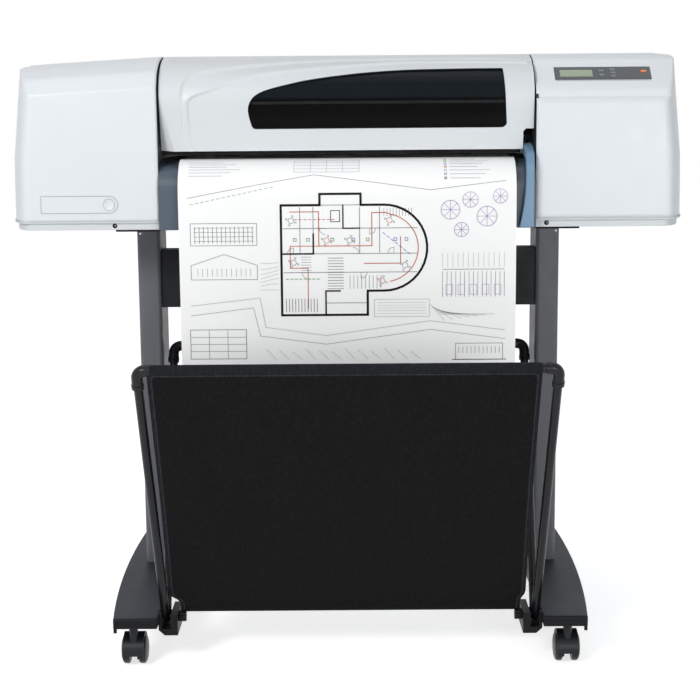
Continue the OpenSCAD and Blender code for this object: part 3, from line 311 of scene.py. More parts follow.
def grid_faces(rows, cols, keep=None, closed=False):
    """Quads of a rows by cols grid; keep(i, j) says which cells stay."""
    faces = []
    for i in range(rows - 1):
        for j in range(cols if closed else cols - 1):
            if keep is None or keep(i, j):
                k = (j + 1) % cols
                faces.append((i * cols + j, i * cols + k, (i + 1) * cols + k, (i + 1) * cols + j))
    return faces


def thicken(obj, mm):
    """Gives a skin a wall on its inner side."""
    s = obj.modifiers.new("wall", "SOLIDIFY")
    s.thickness = mm * 0.001
    s.offset = -1.0


def merge_points(obj):
    """Joins points that fall together, so that no face is left without an area."""
    bm = bmesh.new()
    bm.from_mesh(obj.data)
    bmesh.ops.remove_doubles(bm, verts=bm.verts, dist=4e-5)
    bmesh.ops.dissolve_degenerate(bm, edges=bm.edges, dist=2e-5)
    bm.to_mesh(obj.data)
    bm.free()


def cut_hole(obj, low, high):
    """Opens a skin inside a box, cutting its faces along the box's depth and height limits."""
    low, high = at(low), at(high)
    bm = bmesh.new()
    bm.from_mesh(obj.data)
    for axis in (1, 2):
        for value in (low[axis], high[axis]):
            faces = [f for f in bm.faces if f.calc_center_median().x > low[0]]
            edges = dict.fromkeys(e for f in faces for e in f.edges)
            verts = dict.fromkeys(v for f in faces for v in f.verts)
            normal = Vector((0, axis == 1, axis == 2))
            bmesh.ops.bisect_plane(bm, geom=[*verts, *edges, *faces], dist=1e-7,
                                   plane_co=normal * value, plane_no=normal)
    gone = [f for f in bm.faces if all(low[k] < c < high[k] for k, c in enumerate(f.calc_center_median()))]
    bmesh.ops.delete(bm, geom=gone, context="FACES")
    bm.to_mesh(obj.data)
    bm.free()


def soften(obj, mm):
    """Rounded edges on a carried-over solid, by modifiers alone."""
    obj.data.polygons.foreach_set("use_smooth", [True] * len(obj.data.polygons))
    w = obj.modifiers.new("weld", "WELD")
    w.merge_threshold = 0.00002
    d = obj.modifiers.new("flat", "DECIMATE")
    d.decimate_type = "DISSOLVE"
    d.angle_limit = math.radians(0.5)
    b = obj.modifiers.new("edge", "BEVEL")
    b.width = mm * 0.001
    b.segments = 2
    b.limit_method = "ANGLE"
    b.angle_limit = math.radians(30)
    b.harden_normals = True
    n = obj.modifiers.new("normal", "WEIGHTED_NORMAL")
    n.keep_sharp = True


def fillet(points, cuts, steps=6):
    """Polyline with each inner corner rounded, starting a given distance from it."""
    p = [np.array(q, float) for q in points]
    out = [p[0]]
    for i in range(1, len(p) - 1):
        a, b = p[i - 1] - p[i], p[i + 1] - p[i]
        la, lb = np.linalg.norm(a), np.linalg.norm(b)
        c = min(cuts[i - 1], la * 0.48, lb * 0.48)
        if c <= 0:
            out.append(p[i])
            continue
        s, e = p[i] + a / la * c, p[i] + b / lb * c
        for t in np.linspace(0, 1, steps + 1):
            out.append((1 - t) ** 2 * s + 2 * t * (1 - t) * p[i] + t * t * e)
    out.append(p[-1])
    return np.array(out)


def fill(points, step):
    """Polyline with no stretch longer than step."""
    out = [points[0]]
    for a, b in zip(points[:-1], points[1:]):
        n = max(1, int(math.ceil(np.linalg.norm(b - a) / step)))
        out += [a + (b - a) * k / n for k in range(1, n + 1)]
    return np.array(out)


def smooth_step(x, lo, hi):
    t = np.clip((np.asarray(x, float) - lo) / (hi - lo), 0, 1)
    return t * t * (3 - 2 * t)


def run_of(path):
    """Distance along a path at each of its points."""
    return np.concatenate([[0], np.cumsum(np.linalg.norm(np.diff(path, axis=0), axis=1))])


def beside(path, run, q, depth, reach):
    """Depth and height at distances q along a side view, moved to one side of it; reach smooths its direction."""
    (y0, z0), (y, z), (y1, z1) = [[np.interp(q + e, run, path[:, k]) for k in (0, 1)] for e in (-reach, 0, reach)]
    ty, tz = y1 - y0, z1 - z0
    n = np.hypot(ty, tz) + 1e-9
    return y - depth * tz / n, z + depth * ty / n


def catmull(points, n):
    """Smooth curve through points, with n steps from each to the next."""
    p = np.array(points, float)
    out = []
    last = len(p) - 1
    for i in range(last):
        a, b, c, d = p[max(i - 1, 0)], p[i], p[i + 1], p[min(i + 2, last)]
        for k in range(n):
            t = k / n
            out.append((2 * b + (c - a) * t + (2 * a - 5 * b + 4 * c - d) * t * t
                        + (3 * b - a - 3 * c + d) * t ** 3) / 2)
    out.append(p[last])
    return np.array(out)


def tube(name, path, radius, body, material, sides):
    """A round bar without end faces along a path of millimetre points that never runs straight back."""
    p = np.array(path, float)
    d = np.gradient(p, axis=0)
    d /= np.linalg.norm(d, axis=1)[:, None]
    up = np.array([0.0, 1.0, 0.0])
    pts = []
    for q, t in zip(p, d):
        u = np.cross(t, up)
        u /= np.linalg.norm(u)
        v = np.cross(u, t)
        for k in range(sides):
            a = 2 * math.pi * k / sides
            pts.append(q + radius * (u * math.cos(a) + v * math.sin(a)))
    make(name, np.array(pts), grid_faces(len(p), sides, closed=True), body, material)


def lathe(name, profile, centre, axis, body, material, sides=32):
    """A turned piece: profile of (radius, distance along the axis)."""
    z = np.array(axis, float)
    z /= np.linalg.norm(z)
    x = np.cross(z, [0.3, 0.5, 0.81])
    x /= np.linalg.norm(x)
    y = np.cross(z, x)
    turns = [2 * math.pi * k / sides for k in range(sides)]
    pts = [np.array(centre) + h * z + r * (math.cos(a) * x + math.sin(a) * y) for r, h in profile for a in turns]
    make(name, np.array(pts), grid_faces(len(profile), sides, closed=True), body, material)


def box(name, low, high, body, material):
    p = [(x, y, z) for x in (low[0], high[0]) for y in (low[1], high[1]) for z in (low[2], high[2])]
    faces = [(0, 1, 3, 2), (4, 6, 7, 5), (0, 4, 5, 1), (2, 3, 7, 6), (0, 2, 6, 4), (1, 5, 7, 3)]
    make(name, np.array(p), faces, body, material, smooth=False)


# End modules: one smooth skin each, swept from the bay outwards

def end_height(x, droop):
    """Top of a module's front view at a distance x from the middle."""
    low = COVER - droop - END_ROUND
    if x <= SHOULDER:
        return COVER - droop * np.clip((x - BAY) / (SHOULDER - BAY), 0, 1)
    if x <= SHOULDER + END_ROUND:
        return low + math.sqrt(max(0.0, END_ROUND ** 2 - (x - SHOULDER) ** 2))
    if x <= KNEE:
        return KNEE_Z + (low - KNEE_Z) * (KNEE - x) / (KNEE - END + END_TAPER)
    return KNEE_Z * (END - x) / (END - KNEE)


def end_columns(fixed):
    """Distances from the middle: even across the flat and close together round the end, the fixed ones among them."""
    cols = list(np.arange(BAY, SHOULDER, 6.0)) + list(fixed)
    cols += [SHOULDER + END_ROUND * math.sin(a) for a in np.linspace(0, math.pi / 2, 12)]
    cols += list(np.linspace(SHOULDER + END_ROUND, KNEE, 26))
    cols += list(np.linspace(KNEE, END - 0.02, 12))
    cols = sorted(cols)
    out = [cols[0]]
    for c in cols[1:]:
        if c - out[-1] > 0.015:
            out.append(c)
        elif any(abs(c - f) < 1e-9 for f in fixed):
            out[-1] = c
    return np.array(out)


def soft_min(a, b, k):
    """The lesser of two values, with a rounded change over of a width k."""
    h = np.clip(0.5 + 0.5 * (b - a) / k, 0, 1)
    return b * (1 - h) + a * h - k * h * (1 - h)


def corner_round(x, edge, width, deep):
    """How far an upright corner draws back at a distance x, on a quarter ellipse that ends at the edge."""
    t = np.clip((x - (edge - width)) / width, 0, 1)
    return deep * (1 - np.sqrt(1 - t * t))


DIP_FADE = (END - 75, END - 45)  # distances over which a groove runs out
DROOP_FADE = (170, 241)  # heights over which the droop sets in
FRONT_ROUND = (42.0, 128.0)  # width and depth of the front corners
INSET = 4.5  # how far the front corners draw in besides


def end_skin(side, profile, columns, droop, dip=0.0):
    """Points of a module's skin, rows along the profile and columns outwards; dip moves rows except near the end."""
    pts = np.zeros((len(profile), len(columns), 3))
    for j, x in enumerate(columns):
        y, z = (profile + dip * (1 - smooth_step(x, *DIP_FADE))).T
        sink = droop * np.clip((x - BAY) / (SHOULDER - BAY), 0, 1) * smooth_step(z, *DROOP_FADE)
        k = 10.0 * smooth_step(x, END - 60, SHOULDER) + 0.01
        zz = np.maximum(soft_min(z - sink, end_height(x, droop), k), 0)
        edge = END - np.interp(zz, [0, KNEE_Z, COVER - END_ROUND - droop], [0, KNEE_IN, END_TAPER])
        front, back = corner_round(x, edge, *FRONT_ROUND), corner_round(x, edge, BACK_ROUND, BACK_ROUND)
        yy = -soft_min(-y, -(FRONT + front), np.minimum(16.0, 0.5 * front) + 0.01)
        yy = soft_min(yy, BACK - back, np.minimum(10.0, 0.5 * back) + 0.01)
        inset = INSET * smooth_step(x - edge, -90, 0) * (1 - smooth_step(yy, -205, -107))
        pts[:, j] = np.stack([side * (x - inset), yy, Z0 + zz], 1)
    return pts


def end_cover(name, skin, keep, stands_for, flip=False):
    faces = grid_faces(*skin.shape[:2], keep)
    if flip:
        faces = [f[::-1] for f in faces]
    obj = make(name, skin.reshape(-1, 3), faces, "root", "cover", [stands_for])
    merge_points(obj)
    return obj


def between(values, k, low, high):
    """Whether the step from value k to the next lies between two limits."""
    return low - 0.01 <= values[k] and values[k + 1] <= high + 0.01


def with_values(values, wanted):
    """Sorted values that hold each wanted one exactly, dropping what lies too close to it."""
    kept = [v for v in values if all(abs(v - w) > 0.6 for w in wanted)]
    return np.array(sorted(kept + list(wanted)))


# Left module: upright front, a bevel under the brow and a rolled top with the ink lid's opening
LID = (417.0, 594.0, -111.0, 64.2)
LEFT_DROOP = 14.0
brow = fillet([(FRONT, 0), (FRONT, 241), (-223, 269), (-180, 289), (-130, COVER)], [3, 9, 18], 6)
top_rows = with_values(np.arange(-129, 185, 6.0), LID[2:])
back_rows = np.vstack([[(BACK - BACK_ROUND + BACK_ROUND * math.cos(a), COVER - BACK_ROUND + BACK_ROUND * math.sin(a))
                        for a in np.linspace(math.pi / 2, 0, 12)],
                       fill(np.array([(BACK, COVER - 52.0), (BACK, 0)]), 12.0)])
left_profile = np.vstack([fill(brow, 6.0), [(v, COVER) for v in top_rows], back_rows])
left_cols = end_columns(LID[:2])
on_top = left_profile[:, 1] > COVER - 0.01


def left_keep(i, j):
    opening_row = on_top[i] and on_top[i + 1] and between(left_profile[:, 0], i, *LID[2:])
    return not (opening_row and between(left_cols, j, *LID[:2]))


left = end_cover("left_cover_skin", end_skin(-1, left_profile, left_cols, LEFT_DROOP), left_keep, "left_cover", True)
thicken(left, WALL)

# Right module: upright front, a rounded ledge, the sloping panel face and the top
SLOPE_LOW, SLOPE_HIGH = np.array([-228.0, 233.0]), np.array([-160.0, 287.0])
SLOPE_DIR = (SLOPE_HIGH - SLOPE_LOW) / np.linalg.norm(SLOPE_HIGH - SLOPE_LOW)
SLOPE_OUT = np.array([-SLOPE_DIR[1], SLOPE_DIR[0]])
SLOPE_MID = (SLOPE_LOW + SLOPE_HIGH) / 2
PANEL = (467.0 - 87.7, 467.0 + 87.7, -17.7, 17.7)
DOOR_LOW, DOOR_HIGH = (600, -106, Z0 + 8.4), (640, 61, Z0 + 191)
GROOVE = 1.4
front_rows = np.arange(0, 188, 8.0)
ledge = fillet([(FRONT, 190), (FRONT, 209), (-234.5, 216), (-230, 218), (-227.5, 231),
                SLOPE_MID - 30 * SLOPE_DIR, SLOPE_MID + PANEL[2] * SLOPE_DIR], [10, 4, 3, 5, 6], 6)
slope_rows = [SLOPE_MID + s * SLOPE_DIR for s in np.linspace(PANEL[2], PANEL[3], 8)[1:]]


def crown_rows(deep):
    """Rows from above the panel over the top, with a groove of a depth along the upper edge of the slope."""
    groove = [SLOPE_MID + a * SLOPE_DIR - d * SLOPE_OUT
              for a, d in ((30.2, 0), (31.0, deep), (32.0, deep), (32.8, 0))]
    line = [SLOPE_MID + (PANEL[3] + 0.1) * SLOPE_DIR, *groove, SLOPE_HIGH, (-132, COVER), (-110, COVER)]
    return fill(fillet(line, [0.3, 0.3, 0.3, 0.3, 8, 12], 5), 6.0)[1:]


crown = crown_rows(0.0)
right_profile = np.vstack([[(FRONT, v) for v in front_rows], ledge[1:], slope_rows, crown,
                           [(v, COVER) for v in np.arange(-104, 185, 8.0)], back_rows])
right_cols = end_columns(PANEL[:2])
dip = np.zeros_like(right_profile)
first = len(front_rows) + len(ledge) - 1 + len(slope_rows)
dip[first:first + len(crown)] = crown_rows(GROOVE) - crown
along = (right_profile - SLOPE_MID) @ SLOPE_DIR
on_slope = np.abs((right_profile - SLOPE_MID) @ SLOPE_OUT) < 0.02


def right_keep(i, j):
    opening_row = on_slope[i] and on_slope[i + 1] and between(along, i, *PANEL[2:])
    return not (opening_row and between(right_cols, j, *PANEL[:2]))


right = end_cover("right_cover_skin", end_skin(1, right_profile, right_cols, 0.0, dip), right_keep, "right_cover")
cut_hole(right, DOOR_LOW, DOOR_HIGH)
merge_points(right)
thicken(right, WALL)

# Window cover: a skin in rings, from the pane's opening out to its edges
HALF = BAY - 3.0
WIN_LOW = 125.0  # height of its lower edge above the covers' foot
win_path = catmull([(-12, COVER), (-100, COVER), (-150, COVER - 6), (-190, COVER - 19), (-221, COVER - 44),
                    (-231, COVER - 82), (-218, WIN_LOW)], 24)
win_q = run_of(win_path)
win_len = win_q[-1]
falling = np.argmax(win_path[:, 1] < COVER - 0.5)


def q_of(height):
    """Distance along the window cover's side view at a height."""
    return np.interp(-np.asarray(height, float), -win_path[falling:, 1], win_q[falling:])


def win_at(q, depth):
    """Point and depth below the face on the window cover's side view."""
    return beside(win_path, win_q, q, depth, 1.5)


def front_line(points):
    """Smooth line on the window cover's face, from points in its front view."""
    c = catmull(points, 14)
    return np.stack([c[:, 0], q_of(c[:, 1])], 1)


brow_outer = front_line([(-299, COVER - 117), (-301, COVER - 69), (-294, COVER - 44), (-267, COVER - 28),
                         (-157, COVER - 15), (6, COVER - 8), (242, COVER - 7), (329, COVER - 12)])
brow_inner = front_line([(-286, COVER - 159), (-291, COVER - 96), (-286, COVER - 76), (-258, COVER - 63),
                         (-157, COVER - 33), (6, COVER - 18), (151, COVER - 12), (329, COVER - 14)])


def inside(poly, pts):
    """Which points lie in a closed line."""
    x, y = pts[:, 0], pts[:, 1]
    hit = np.zeros(len(pts), bool)
    for a, b in zip(poly, np.roll(poly, -1, axis=0)):
        cross = (a[1] > y) != (b[1] > y)
        with np.errstate(divide="ignore", invalid="ignore"):
            at_x = (b[0] - a[0]) * (y - a[1]) / (b[1] - a[1] + 1e-12) + a[0]
        hit ^= cross & (x < at_x)
    return hit


def distance(line, pts):
    """How far points lie from an open line."""
    best = np.full(len(pts), 1e9)
    for a, b in zip(line[:-1], line[1:]):
        d = b - a
        t = np.clip(((pts - a) @ d) / (d @ d + 1e-12), 0, 1)
        best = np.minimum(best, np.linalg.norm(pts - a - t[:, None] * d, axis=1))
    return best


def below(line):
    """The face below a brow line, closed along the right edge and the bottom."""
    low = win_len + 40
    return np.vstack([line, [(360, line[-1, 1]), (360, low), (line[0, 0], low)]])


SCOOP, STEP = 5.5, 3.4  # depth of the hollow under the brow, and of the step inside it
WEDGE, WEDGE_TOP, WEDGE_SLOPE = 26.0, COVER - 70, 0.45  # bevel that widens down the left corner


def face_depth(pts):
    """How far the window cover's face lies below its brow."""
    height = np.interp(pts[:, 1], win_q, win_path[:, 1])
    fading = 0.2 + 0.8 * smooth_step(height, COVER - 168, COVER - 100)
    to_outer, to_inner = distance(brow_outer, pts), distance(brow_inner, pts)
    past_outer, past_inner = inside(below(brow_outer), pts), inside(below(brow_inner), pts)
    share = to_outer / (to_outer + to_inner + 1e-6)
    scoop = np.minimum(0.24 * (to_outer + to_inner), SCOOP) * (1 - share) * (1 - np.exp(-7.0 * share))
    total = np.where(past_outer & ~past_inner, scoop, 0)
    total += np.where(past_inner, STEP * smooth_step(to_inner, 0, 7.0), 0)
    corner = -HALF + WEDGE * np.clip((WEDGE_TOP - height) / (WEDGE_TOP - WIN_LOW), 0, 1)
    return total * fading + WEDGE_SLOPE * np.clip(corner - pts[:, 0], 0, 30)


SILL, LINTEL = COVER - 133, COVER - 21.5
glass_line = catmull([(-166, SILL), (-173, COVER - 126), (-178, COVER - 92), (-156, COVER - 66), (-85, COVER - 45),
                      (6, COVER - 31), (97, COVER - 24), (188, COVER - 22), (279, LINTEL)], 16)
glass_corner = fillet([(279, LINTEL), (285, LINTEL), (291, COVER - 128), (284, SILL), (278, SILL)], [5, 4, 3], 5)
opening = fill(np.vstack([glass_line, glass_corner[1:], [(-166, SILL)]]), 3.0)[:-1]
opening = np.stack([opening[:, 0], q_of(opening[:, 1])], 1)
notch_q, notch_low = q_of(WIN_LOW + 37.0), q_of(WIN_LOW + 32.0)
outer = np.array([(-HALF, 0.0), (HALF, 0.0), (HALF, notch_q), (HALF - 14, notch_q), (HALF - 19, notch_low),
                  (HALF - 19, win_len), (-HALF, win_len)])
outer = fill(np.vstack([outer, outer[:1]]), 3.0)[:-1]
mid = np.array([55.0, float(q_of(COVER - 82))])
squeeze = np.array([0.42, 1.0])


def on_ray(loop, angles):
    """Where rays from the middle of the opening meet a loop of points."""
    v = (loop - mid) * squeeze
    a = np.unwrap(np.arctan2(v[:, 1], v[:, 0]))
    if a[-1] < a[0]:
        a, v = a[::-1], v[::-1]
    a2 = np.concatenate([a - 2 * math.pi, a, a + 2 * math.pi])
    v2 = np.vstack([v, v, v])
    order = np.argsort(a2, kind="stable")
    a2, v2 = a2[order], v2[order]
    hits = np.stack([np.interp(angles, a2, v2[:, k]) for k in (0, 1)], 1)
    return hits / squeeze + mid


def angles_of(loop):
    v = (loop - mid) * squeeze
    return np.arctan2(v[:, 1], v[:, 0])


rays = np.unique(np.round(np.concatenate([angles_of(outer), angles_of(opening)]), 5))
rays = rays[np.concatenate([[True], np.diff(rays) > 0.0016])]
ring_in, ring_out = on_ray(opening, rays), on_ray(outer, rays)
steps = np.concatenate([[0, 0.006], np.linspace(0.02, 1, 110)])
rings = np.array([ring_in + (ring_out - ring_in) * s for s in steps])
flat = rings.reshape(-1, 2)
wy, wz = win_at(flat[:, 1], face_depth(flat))
hood = make("window_hood", np.stack([flat[:, 0], wy, Z0 + wz], 1), grid_faces(len(steps), len(rays), closed=True),
            "window", "hood", ["window_frame"])
thicken(hood, WALL)

# Gasket round the pane's opening
gasket = np.stack([ring_in[:, 0], *win_at(ring_in[:, 1], 6.6)], 1)
gasket[:, 2] += Z0
tube("pane_gasket", np.vstack([gasket, gasket[:2]]), 1.1, "window", "shadow", 8)

# Dark strip under the window cover's lower edge, a painted shadow over the gap above the paper, and the row of studs
# on the pane's crossbar
box("window_shadow_strip", (-336, -207.5, 921.0), (317, -203.5, 928.5), "window", "shadow")
bar_y, bar_z = (float(v) for v in win_at(q_of(211.0), 7.5))
bar_y, bar_z = bar_y - 0.3, Z0 + bar_z
box("pane_bar", (-172, bar_y, bar_z - 2.6), (286, bar_y + 0.7, bar_z + 2.6), "window", "shadow")
for k in range(10):
    lathe("pane_stud_%d" % (k + 1), [(0.01, 0.7), (1.3, 0.6), (1.7, 0.0)], (-150 + 45 * k, bar_y, bar_z), FORWARD,
          "window", "brace", 16)

# Paper: from the roll over the platens, round the front edge and down into the bin
PAPER_HALF = 305.0
PAPER_LOW = 310.0
BEND = 65.0  # radius over the front edge
ROLL_TOP = Z0 + 57 + 45.5
bend_mid = np.array([HANG + BEND, MEDIA_Z + 1.5 - BEND])
paper_path = np.vstack([
    [(190, ROLL_TOP), (-37, MEDIA_Z + 0.6), (-166, MEDIA_Z + 0.6)],
    [bend_mid + BEND * np.array([math.cos(a), math.sin(a)]) for a in np.radians(np.linspace(90, 180, 40))],
    [(HANG, z) for z in np.linspace(820, PAPER_LOW, 40)]])
paper_q = run_of(paper_path)
crest_q = paper_q[3]


def on_paper(u, s, lift=0.0):
    """Point on the sheet: u across, s down from its crest, lifted off its face."""
    return np.stack(np.broadcast_arrays(u, *beside(paper_path, paper_q, s + crest_q, -lift, 0.5)), -1)


us = np.linspace(-PAPER_HALF, PAPER_HALF, 42)
sheet_q = np.unique(np.concatenate([np.linspace(-crest_q, 0, 24), np.linspace(0, 110, 40),
                                    np.linspace(110, paper_q[-1] - crest_q, 34)]))
pts = np.array([on_paper(us, s) for s in sheet_q]).reshape(-1, 3)
paper = make("printed_sheet", pts, grid_faces(len(sheet_q), len(us)), "root", "paper", ["media_sheet"])

# Print on the paper: a plain building plan in thin strips, by tone
TONES = {"black": "#18181a", "grey": "#8d9094", "pale": "#c9ccd0", "orange": "#d8703c", "red": "#c4504a",
         "green": "#77ad78", "blue": "#7f9ccb", "lavender": "#c5bcdd"}
plan = {tone: [] for tone in TONES}


def stroke(tone, points, w=1.1):
    """A line of a width w on the sheet, as short strips."""
    p = fill(np.array(points, float), 6.0)
    for a, b in zip(p[:-1], p[1:]):
        d = (b - a) / (np.linalg.norm(b - a) + 1e-9)
        n, e = np.array([-d[1], d[0]]) * w / 2, d * w * 0.35
        plan[tone].append([a - e - n, b + e - n, b + e + n, a - e + n])


def room(tone, u0, s0, u1, s1, w=1.1):
    """The outline of a rectangle."""
    stroke(tone, [(u0, s0), (u1, s0), (u1, s1), (u0, s1), (u0, s0)], w)


def rows(tone, u0, s0, u1, s1, n, w=0.9, upright=False):
    """Parallel lines that fill a rectangle."""
    for k in np.linspace(0, 1, n):
        u, t = u0 + (u1 - u0) * k, s0 + (s1 - s0) * k
        stroke(tone, [(u, s0), (u, s1)] if upright else [(u0, t), (u1, t)], w)


def arc_of(u, s, radius, start, end, n=18):
    return [(u + radius * math.cos(a), s + radius * math.sin(a)) for a in np.radians(np.linspace(start, end, n))]


def tree_mark(u, s, radius):
    stroke("lavender", arc_of(u, s, radius, 0, 360), 1.3)
    for a in range(0, 360, 45):
        stroke("lavender", [(u, s), arc_of(u, s, radius, a, a, 1)[0]], 1.1)


def dashes(tone, a, b, n, w=1.2):
    """A broken line of n dashes."""
    on = 0.6
    a, b = np.array(a, float), np.array(b, float)
    for k in range(n):
        stroke(tone, [a + (b - a) * k / n, a + (b - a) * (k + on) / n], w)


# Main building: heavy outer walls with a bowed end, rooms and a stair
outline = [(-120, 118), (-50, 118), (-50, 98), (24, 98), (24, 118), (66, 118)] + arc_of(66, 196, 78, -90, 90, 22)
outline += [(36, 274), (36, 318), (-120, 318), (-120, 118)]
stroke("black", outline, 4.2)
stroke("black", [(-40, 318), (-40, 274), (-14, 274)], 3.0)
stroke("grey", [(-50, 118), (24, 118)], 1.3)
stroke("grey", [(-40, 296), (36, 296)], 1.3)
stroke("black", [(-120, 206), (-62, 206), (-62, 170)], 3.0)
stroke("black", [(-8, 118), (-8, 160), (22, 160)], 2.6)
for x in (-86, -62, 22, 58):
    stroke("grey", [(x, 122), (x, 204)], 1.3)
for y in (160, 206, 240):
    stroke("grey", [(-116, y), (126, y)], 1.3)
rows("black", -36, 214, -8, 270, 12, 0.9)
rows("grey", 4, 246, 60, 270, 9, 0.9, True)
rows("black", -112, 288, -56, 312, 11, 0.9, True)
room("black", -30, 128, -14, 148, 1.4)
duct = [(-104, 130), (-52, 130), (-52, 192), (44, 192), (44, 132), (70, 132)]
stroke("orange", duct + arc_of(66, 196, 62, -80, 80, 18), 1.7)
stroke("orange", [(-52, 192), (-104, 192), (-104, 232), (-72, 232), (-72, 306)], 1.5)
stroke("red", [(30, 224), (96, 224), (96, 176)], 1.5)
dashes("red", (-96, 144), (-20, 144), 9)
dashes("green", (-112, 252), (-48, 252), 8, 1.5)
dashes("blue", (64, 168), (116, 210), 7, 1.5)
for x in (-98, -74, -30, 8, 34, 84, 104):
    room("green" if x % 4 else "blue", x, 178, x + 5, 183, 1.3)
# Doors, tables with seats and shelves in the rooms
for u, t, turn in ((-98, 206, 180), (-40, 160, 90), (10, 206, 270), (40, 160, 0), (84, 206, 180), (-72, 240, 90),
                   (24, 240, 0)):
    stroke("grey", arc_of(u, t, 11, turn, turn + 90, 9) + [(u, t)], 0.9)
for k, (u, t) in enumerate(((-102, 146), (-38, 182), (4, 182), (76, 146), (104, 228), (62, 256), (-98, 222))):
    stroke(("grey", "orange")[k % 2], arc_of(u, t, 5, 0, 360, 12), 1.0)
    for a in (20, 110, 200, 290):
        seat = np.array(arc_of(u, t, 8.5, a, a, 1)[0])
        room("grey", *(seat - 1.3), *(seat + 1.3), 0.8)
rows("grey", -84, 212, -66, 236, 6, 0.8)
rows("grey", 66, 124, 116, 138, 10, 0.8, True)
# Paving, slopes and a low street front on the ground round it
for k in range(7):
    waves = [(u, 214 + 11 * k + 9 * math.sin(u / 31.0 + k * 0.5)) for u in np.linspace(-158, -126, 9)]
    stroke("pale", waves, 1.0)
    stroke("pale", [(150 + 3 * k, 300 + 3 * k), (176 + 15 * k, 330 - 2 * k)], 1.0)
for k in range(12):
    stroke("pale", [(-150 + 24 * k, 380 + 3 * (k % 3)), (-132 + 24 * k, 400)], 1.0)
for k in range(5):
    room("lavender", 178 + 22 * k, 264, 190 + 22 * k, 282, 1.0)
room("grey", 196, 372, 282, 402, 1.1)
rows("grey", 202, 378, 276, 390, 11, 0.9, True)
stroke("black", [(190, 402), (288, 402)], 1.4)
for k in range(6):
    stroke("pale", [(-286, 28 + 7 * k), (-286 + 60 + 8 * ((k * 3) % 5), 28 + 7 * k)], 1.4)
# Ground round it: sloping boundary, trees, road and parking
dashes("green", (-284, 116), (-130, 84), 16, 1.0)
stroke("grey", [(-288, 104), (-60, 62), (150, 92), (286, 76)], 1.0)
stroke("pale", [(-286, 300), (-160, 286), (-150, 340), (-40, 356), (150, 330), (286, 348)], 1.3)
stroke("grey", [(-286, 318), (-172, 304), (-160, 356), (-40, 372), (150, 346), (286, 364)], 0.9)
for u, t, k in ((186, 128, 17), (222, 110, 14), (252, 140, 18), (206, 164, 13), (276, 104, 13)):
    tree_mark(u, t, k)
rows("grey", 172, 240, 284, 286, 15, 0.9, True)
rows("pale", 172, 206, 284, 232, 13, 0.9, True)
stroke("grey", [(172, 236), (284, 236)], 1.1)
room("pale", 48, 290, 148, 322, 1.1)
rows("pale", 54, 296, 142, 316, 5, 0.8)
# Left column: two street fronts, and a block of empty boxes
room("grey", -284, 150, -164, 190, 1.1)
rows("grey", -278, 158, -170, 182, 4, 0.8)
rows("black", -276, 156, -172, 186, 14, 0.8, True)
stroke("grey", [(-284, 252), (-284, 226), (-224, 206), (-164, 226), (-164, 252), (-284, 252)], 1.1)
rows("grey", -272, 232, -176, 246, 12, 0.8, True)
room("grey", -288, 344, -186, 398, 1.2)
rows("grey", -288, 358, -186, 384, 3, 0.9)
rows("grey", -254, 344, -220, 398, 2, 0.9, True)
# Keys of coloured squares with plain bars, and a table
for k, tone in enumerate(("orange", "green", "blue", "red", "lavender", "grey", "black")):
    room(tone, 176, 18 + 8.4 * k, 179.5, 21.5 + 8.4 * k, 1.2)
    stroke("pale", [(186, 20 + 8.4 * k), (186 + 46 + 30 * ((k * 5) % 7) / 7, 20 + 8.4 * k)], 1.5)
room("pale", -96, 22, 22, 56, 1.0)
rows("pale", -96, 30, 22, 48, 3, 0.9)
rows("pale", -66, 22, -8, 56, 3, 0.9, True)
for tone, quads in plan.items():
    MAT["ink_" + tone] = ink("ink_" + tone, TONES[tone])
    corners = np.array(quads).reshape(-1, 2)
    points = np.array([on_paper(u, t, 0.3) for u, t in corners])
    faces = [tuple(range(4 * k, 4 * k + 4)) for k in range(len(quads))]
    make("print_" + tone, points, faces, "root", "ink_" + tone, smooth=False)

# Bin: one canvas from the front bar down to the fold and up to the rear bar
PIVOT = np.array([-345.0, 88.0])
LEAN_F, LEAN_R, LENGTH = math.radians(23.4), math.radians(34.2), 541.0
front_bar = PIVOT + LENGTH * np.array([-math.sin(LEAN_F), math.cos(LEAN_F)])
rear_bar = PIVOT + np.array([24.0, 0.0]) + LENGTH * np.array([math.sin(LEAN_R), math.cos(LEAN_R)])


def around(bar, start, end, r, n):
    return [bar + r * np.array([math.cos(a), math.sin(a)]) for a in np.radians(np.linspace(start, end, n))]


def hanging(start, end, way, sag, n):
    """Inner points of a panel that bellies out by a sag between two ends."""
    return [start + (end - start) * s + way * sag * 4 * s * (1 - s) for s in np.linspace(0, 1, n)[1:-1]]


WRAP, WRAP_POINTS = 9.6, 26  # the sleeves' radius round the bars
LEFT_HALF, RIGHT_HALF, FOLD_HALF = 331.0, 320.0, 311.0  # width to each side, and at the fold
SIDE_HEM, SLEEVE_HEM = 9.0, 7.0
FOLD_STEPS = 6
fold = [(-348.0, 114.0), (-343.0, 99.0), (-334.0, 92.5), (-325.0, 96.0), (-316.0, 110.0)]
front_sleeve = around(front_bar, -60, 203.4, WRAP, WRAP_POINTS)
rear_sleeve = around(rear_bar, -34.2, -34.2 - 263, WRAP, WRAP_POINTS)
front_run = hanging(front_sleeve[-1], np.array(fold[0]), np.array([-math.cos(LEAN_F), -math.sin(LEAN_F)]), 9.0, 60)
rear_run = hanging(np.array(fold[-1]), rear_sleeve[0], np.array([math.cos(LEAN_R), -math.sin(LEAN_R)]), 8.0, 50)
bin_path = np.vstack([front_sleeve, front_run, catmull(fold, FOLD_STEPS), rear_run, rear_sleeve])
bin_q = run_of(bin_path)
sleeve_q, rear_sleeve_q = bin_q[WRAP_POINTS - 1], bin_q[-WRAP_POINTS]
fold_q = bin_q[WRAP_POINTS + len(front_run) + 2 * FOLD_STEPS]
cols = 90
across = np.linspace(-1, 1, cols)
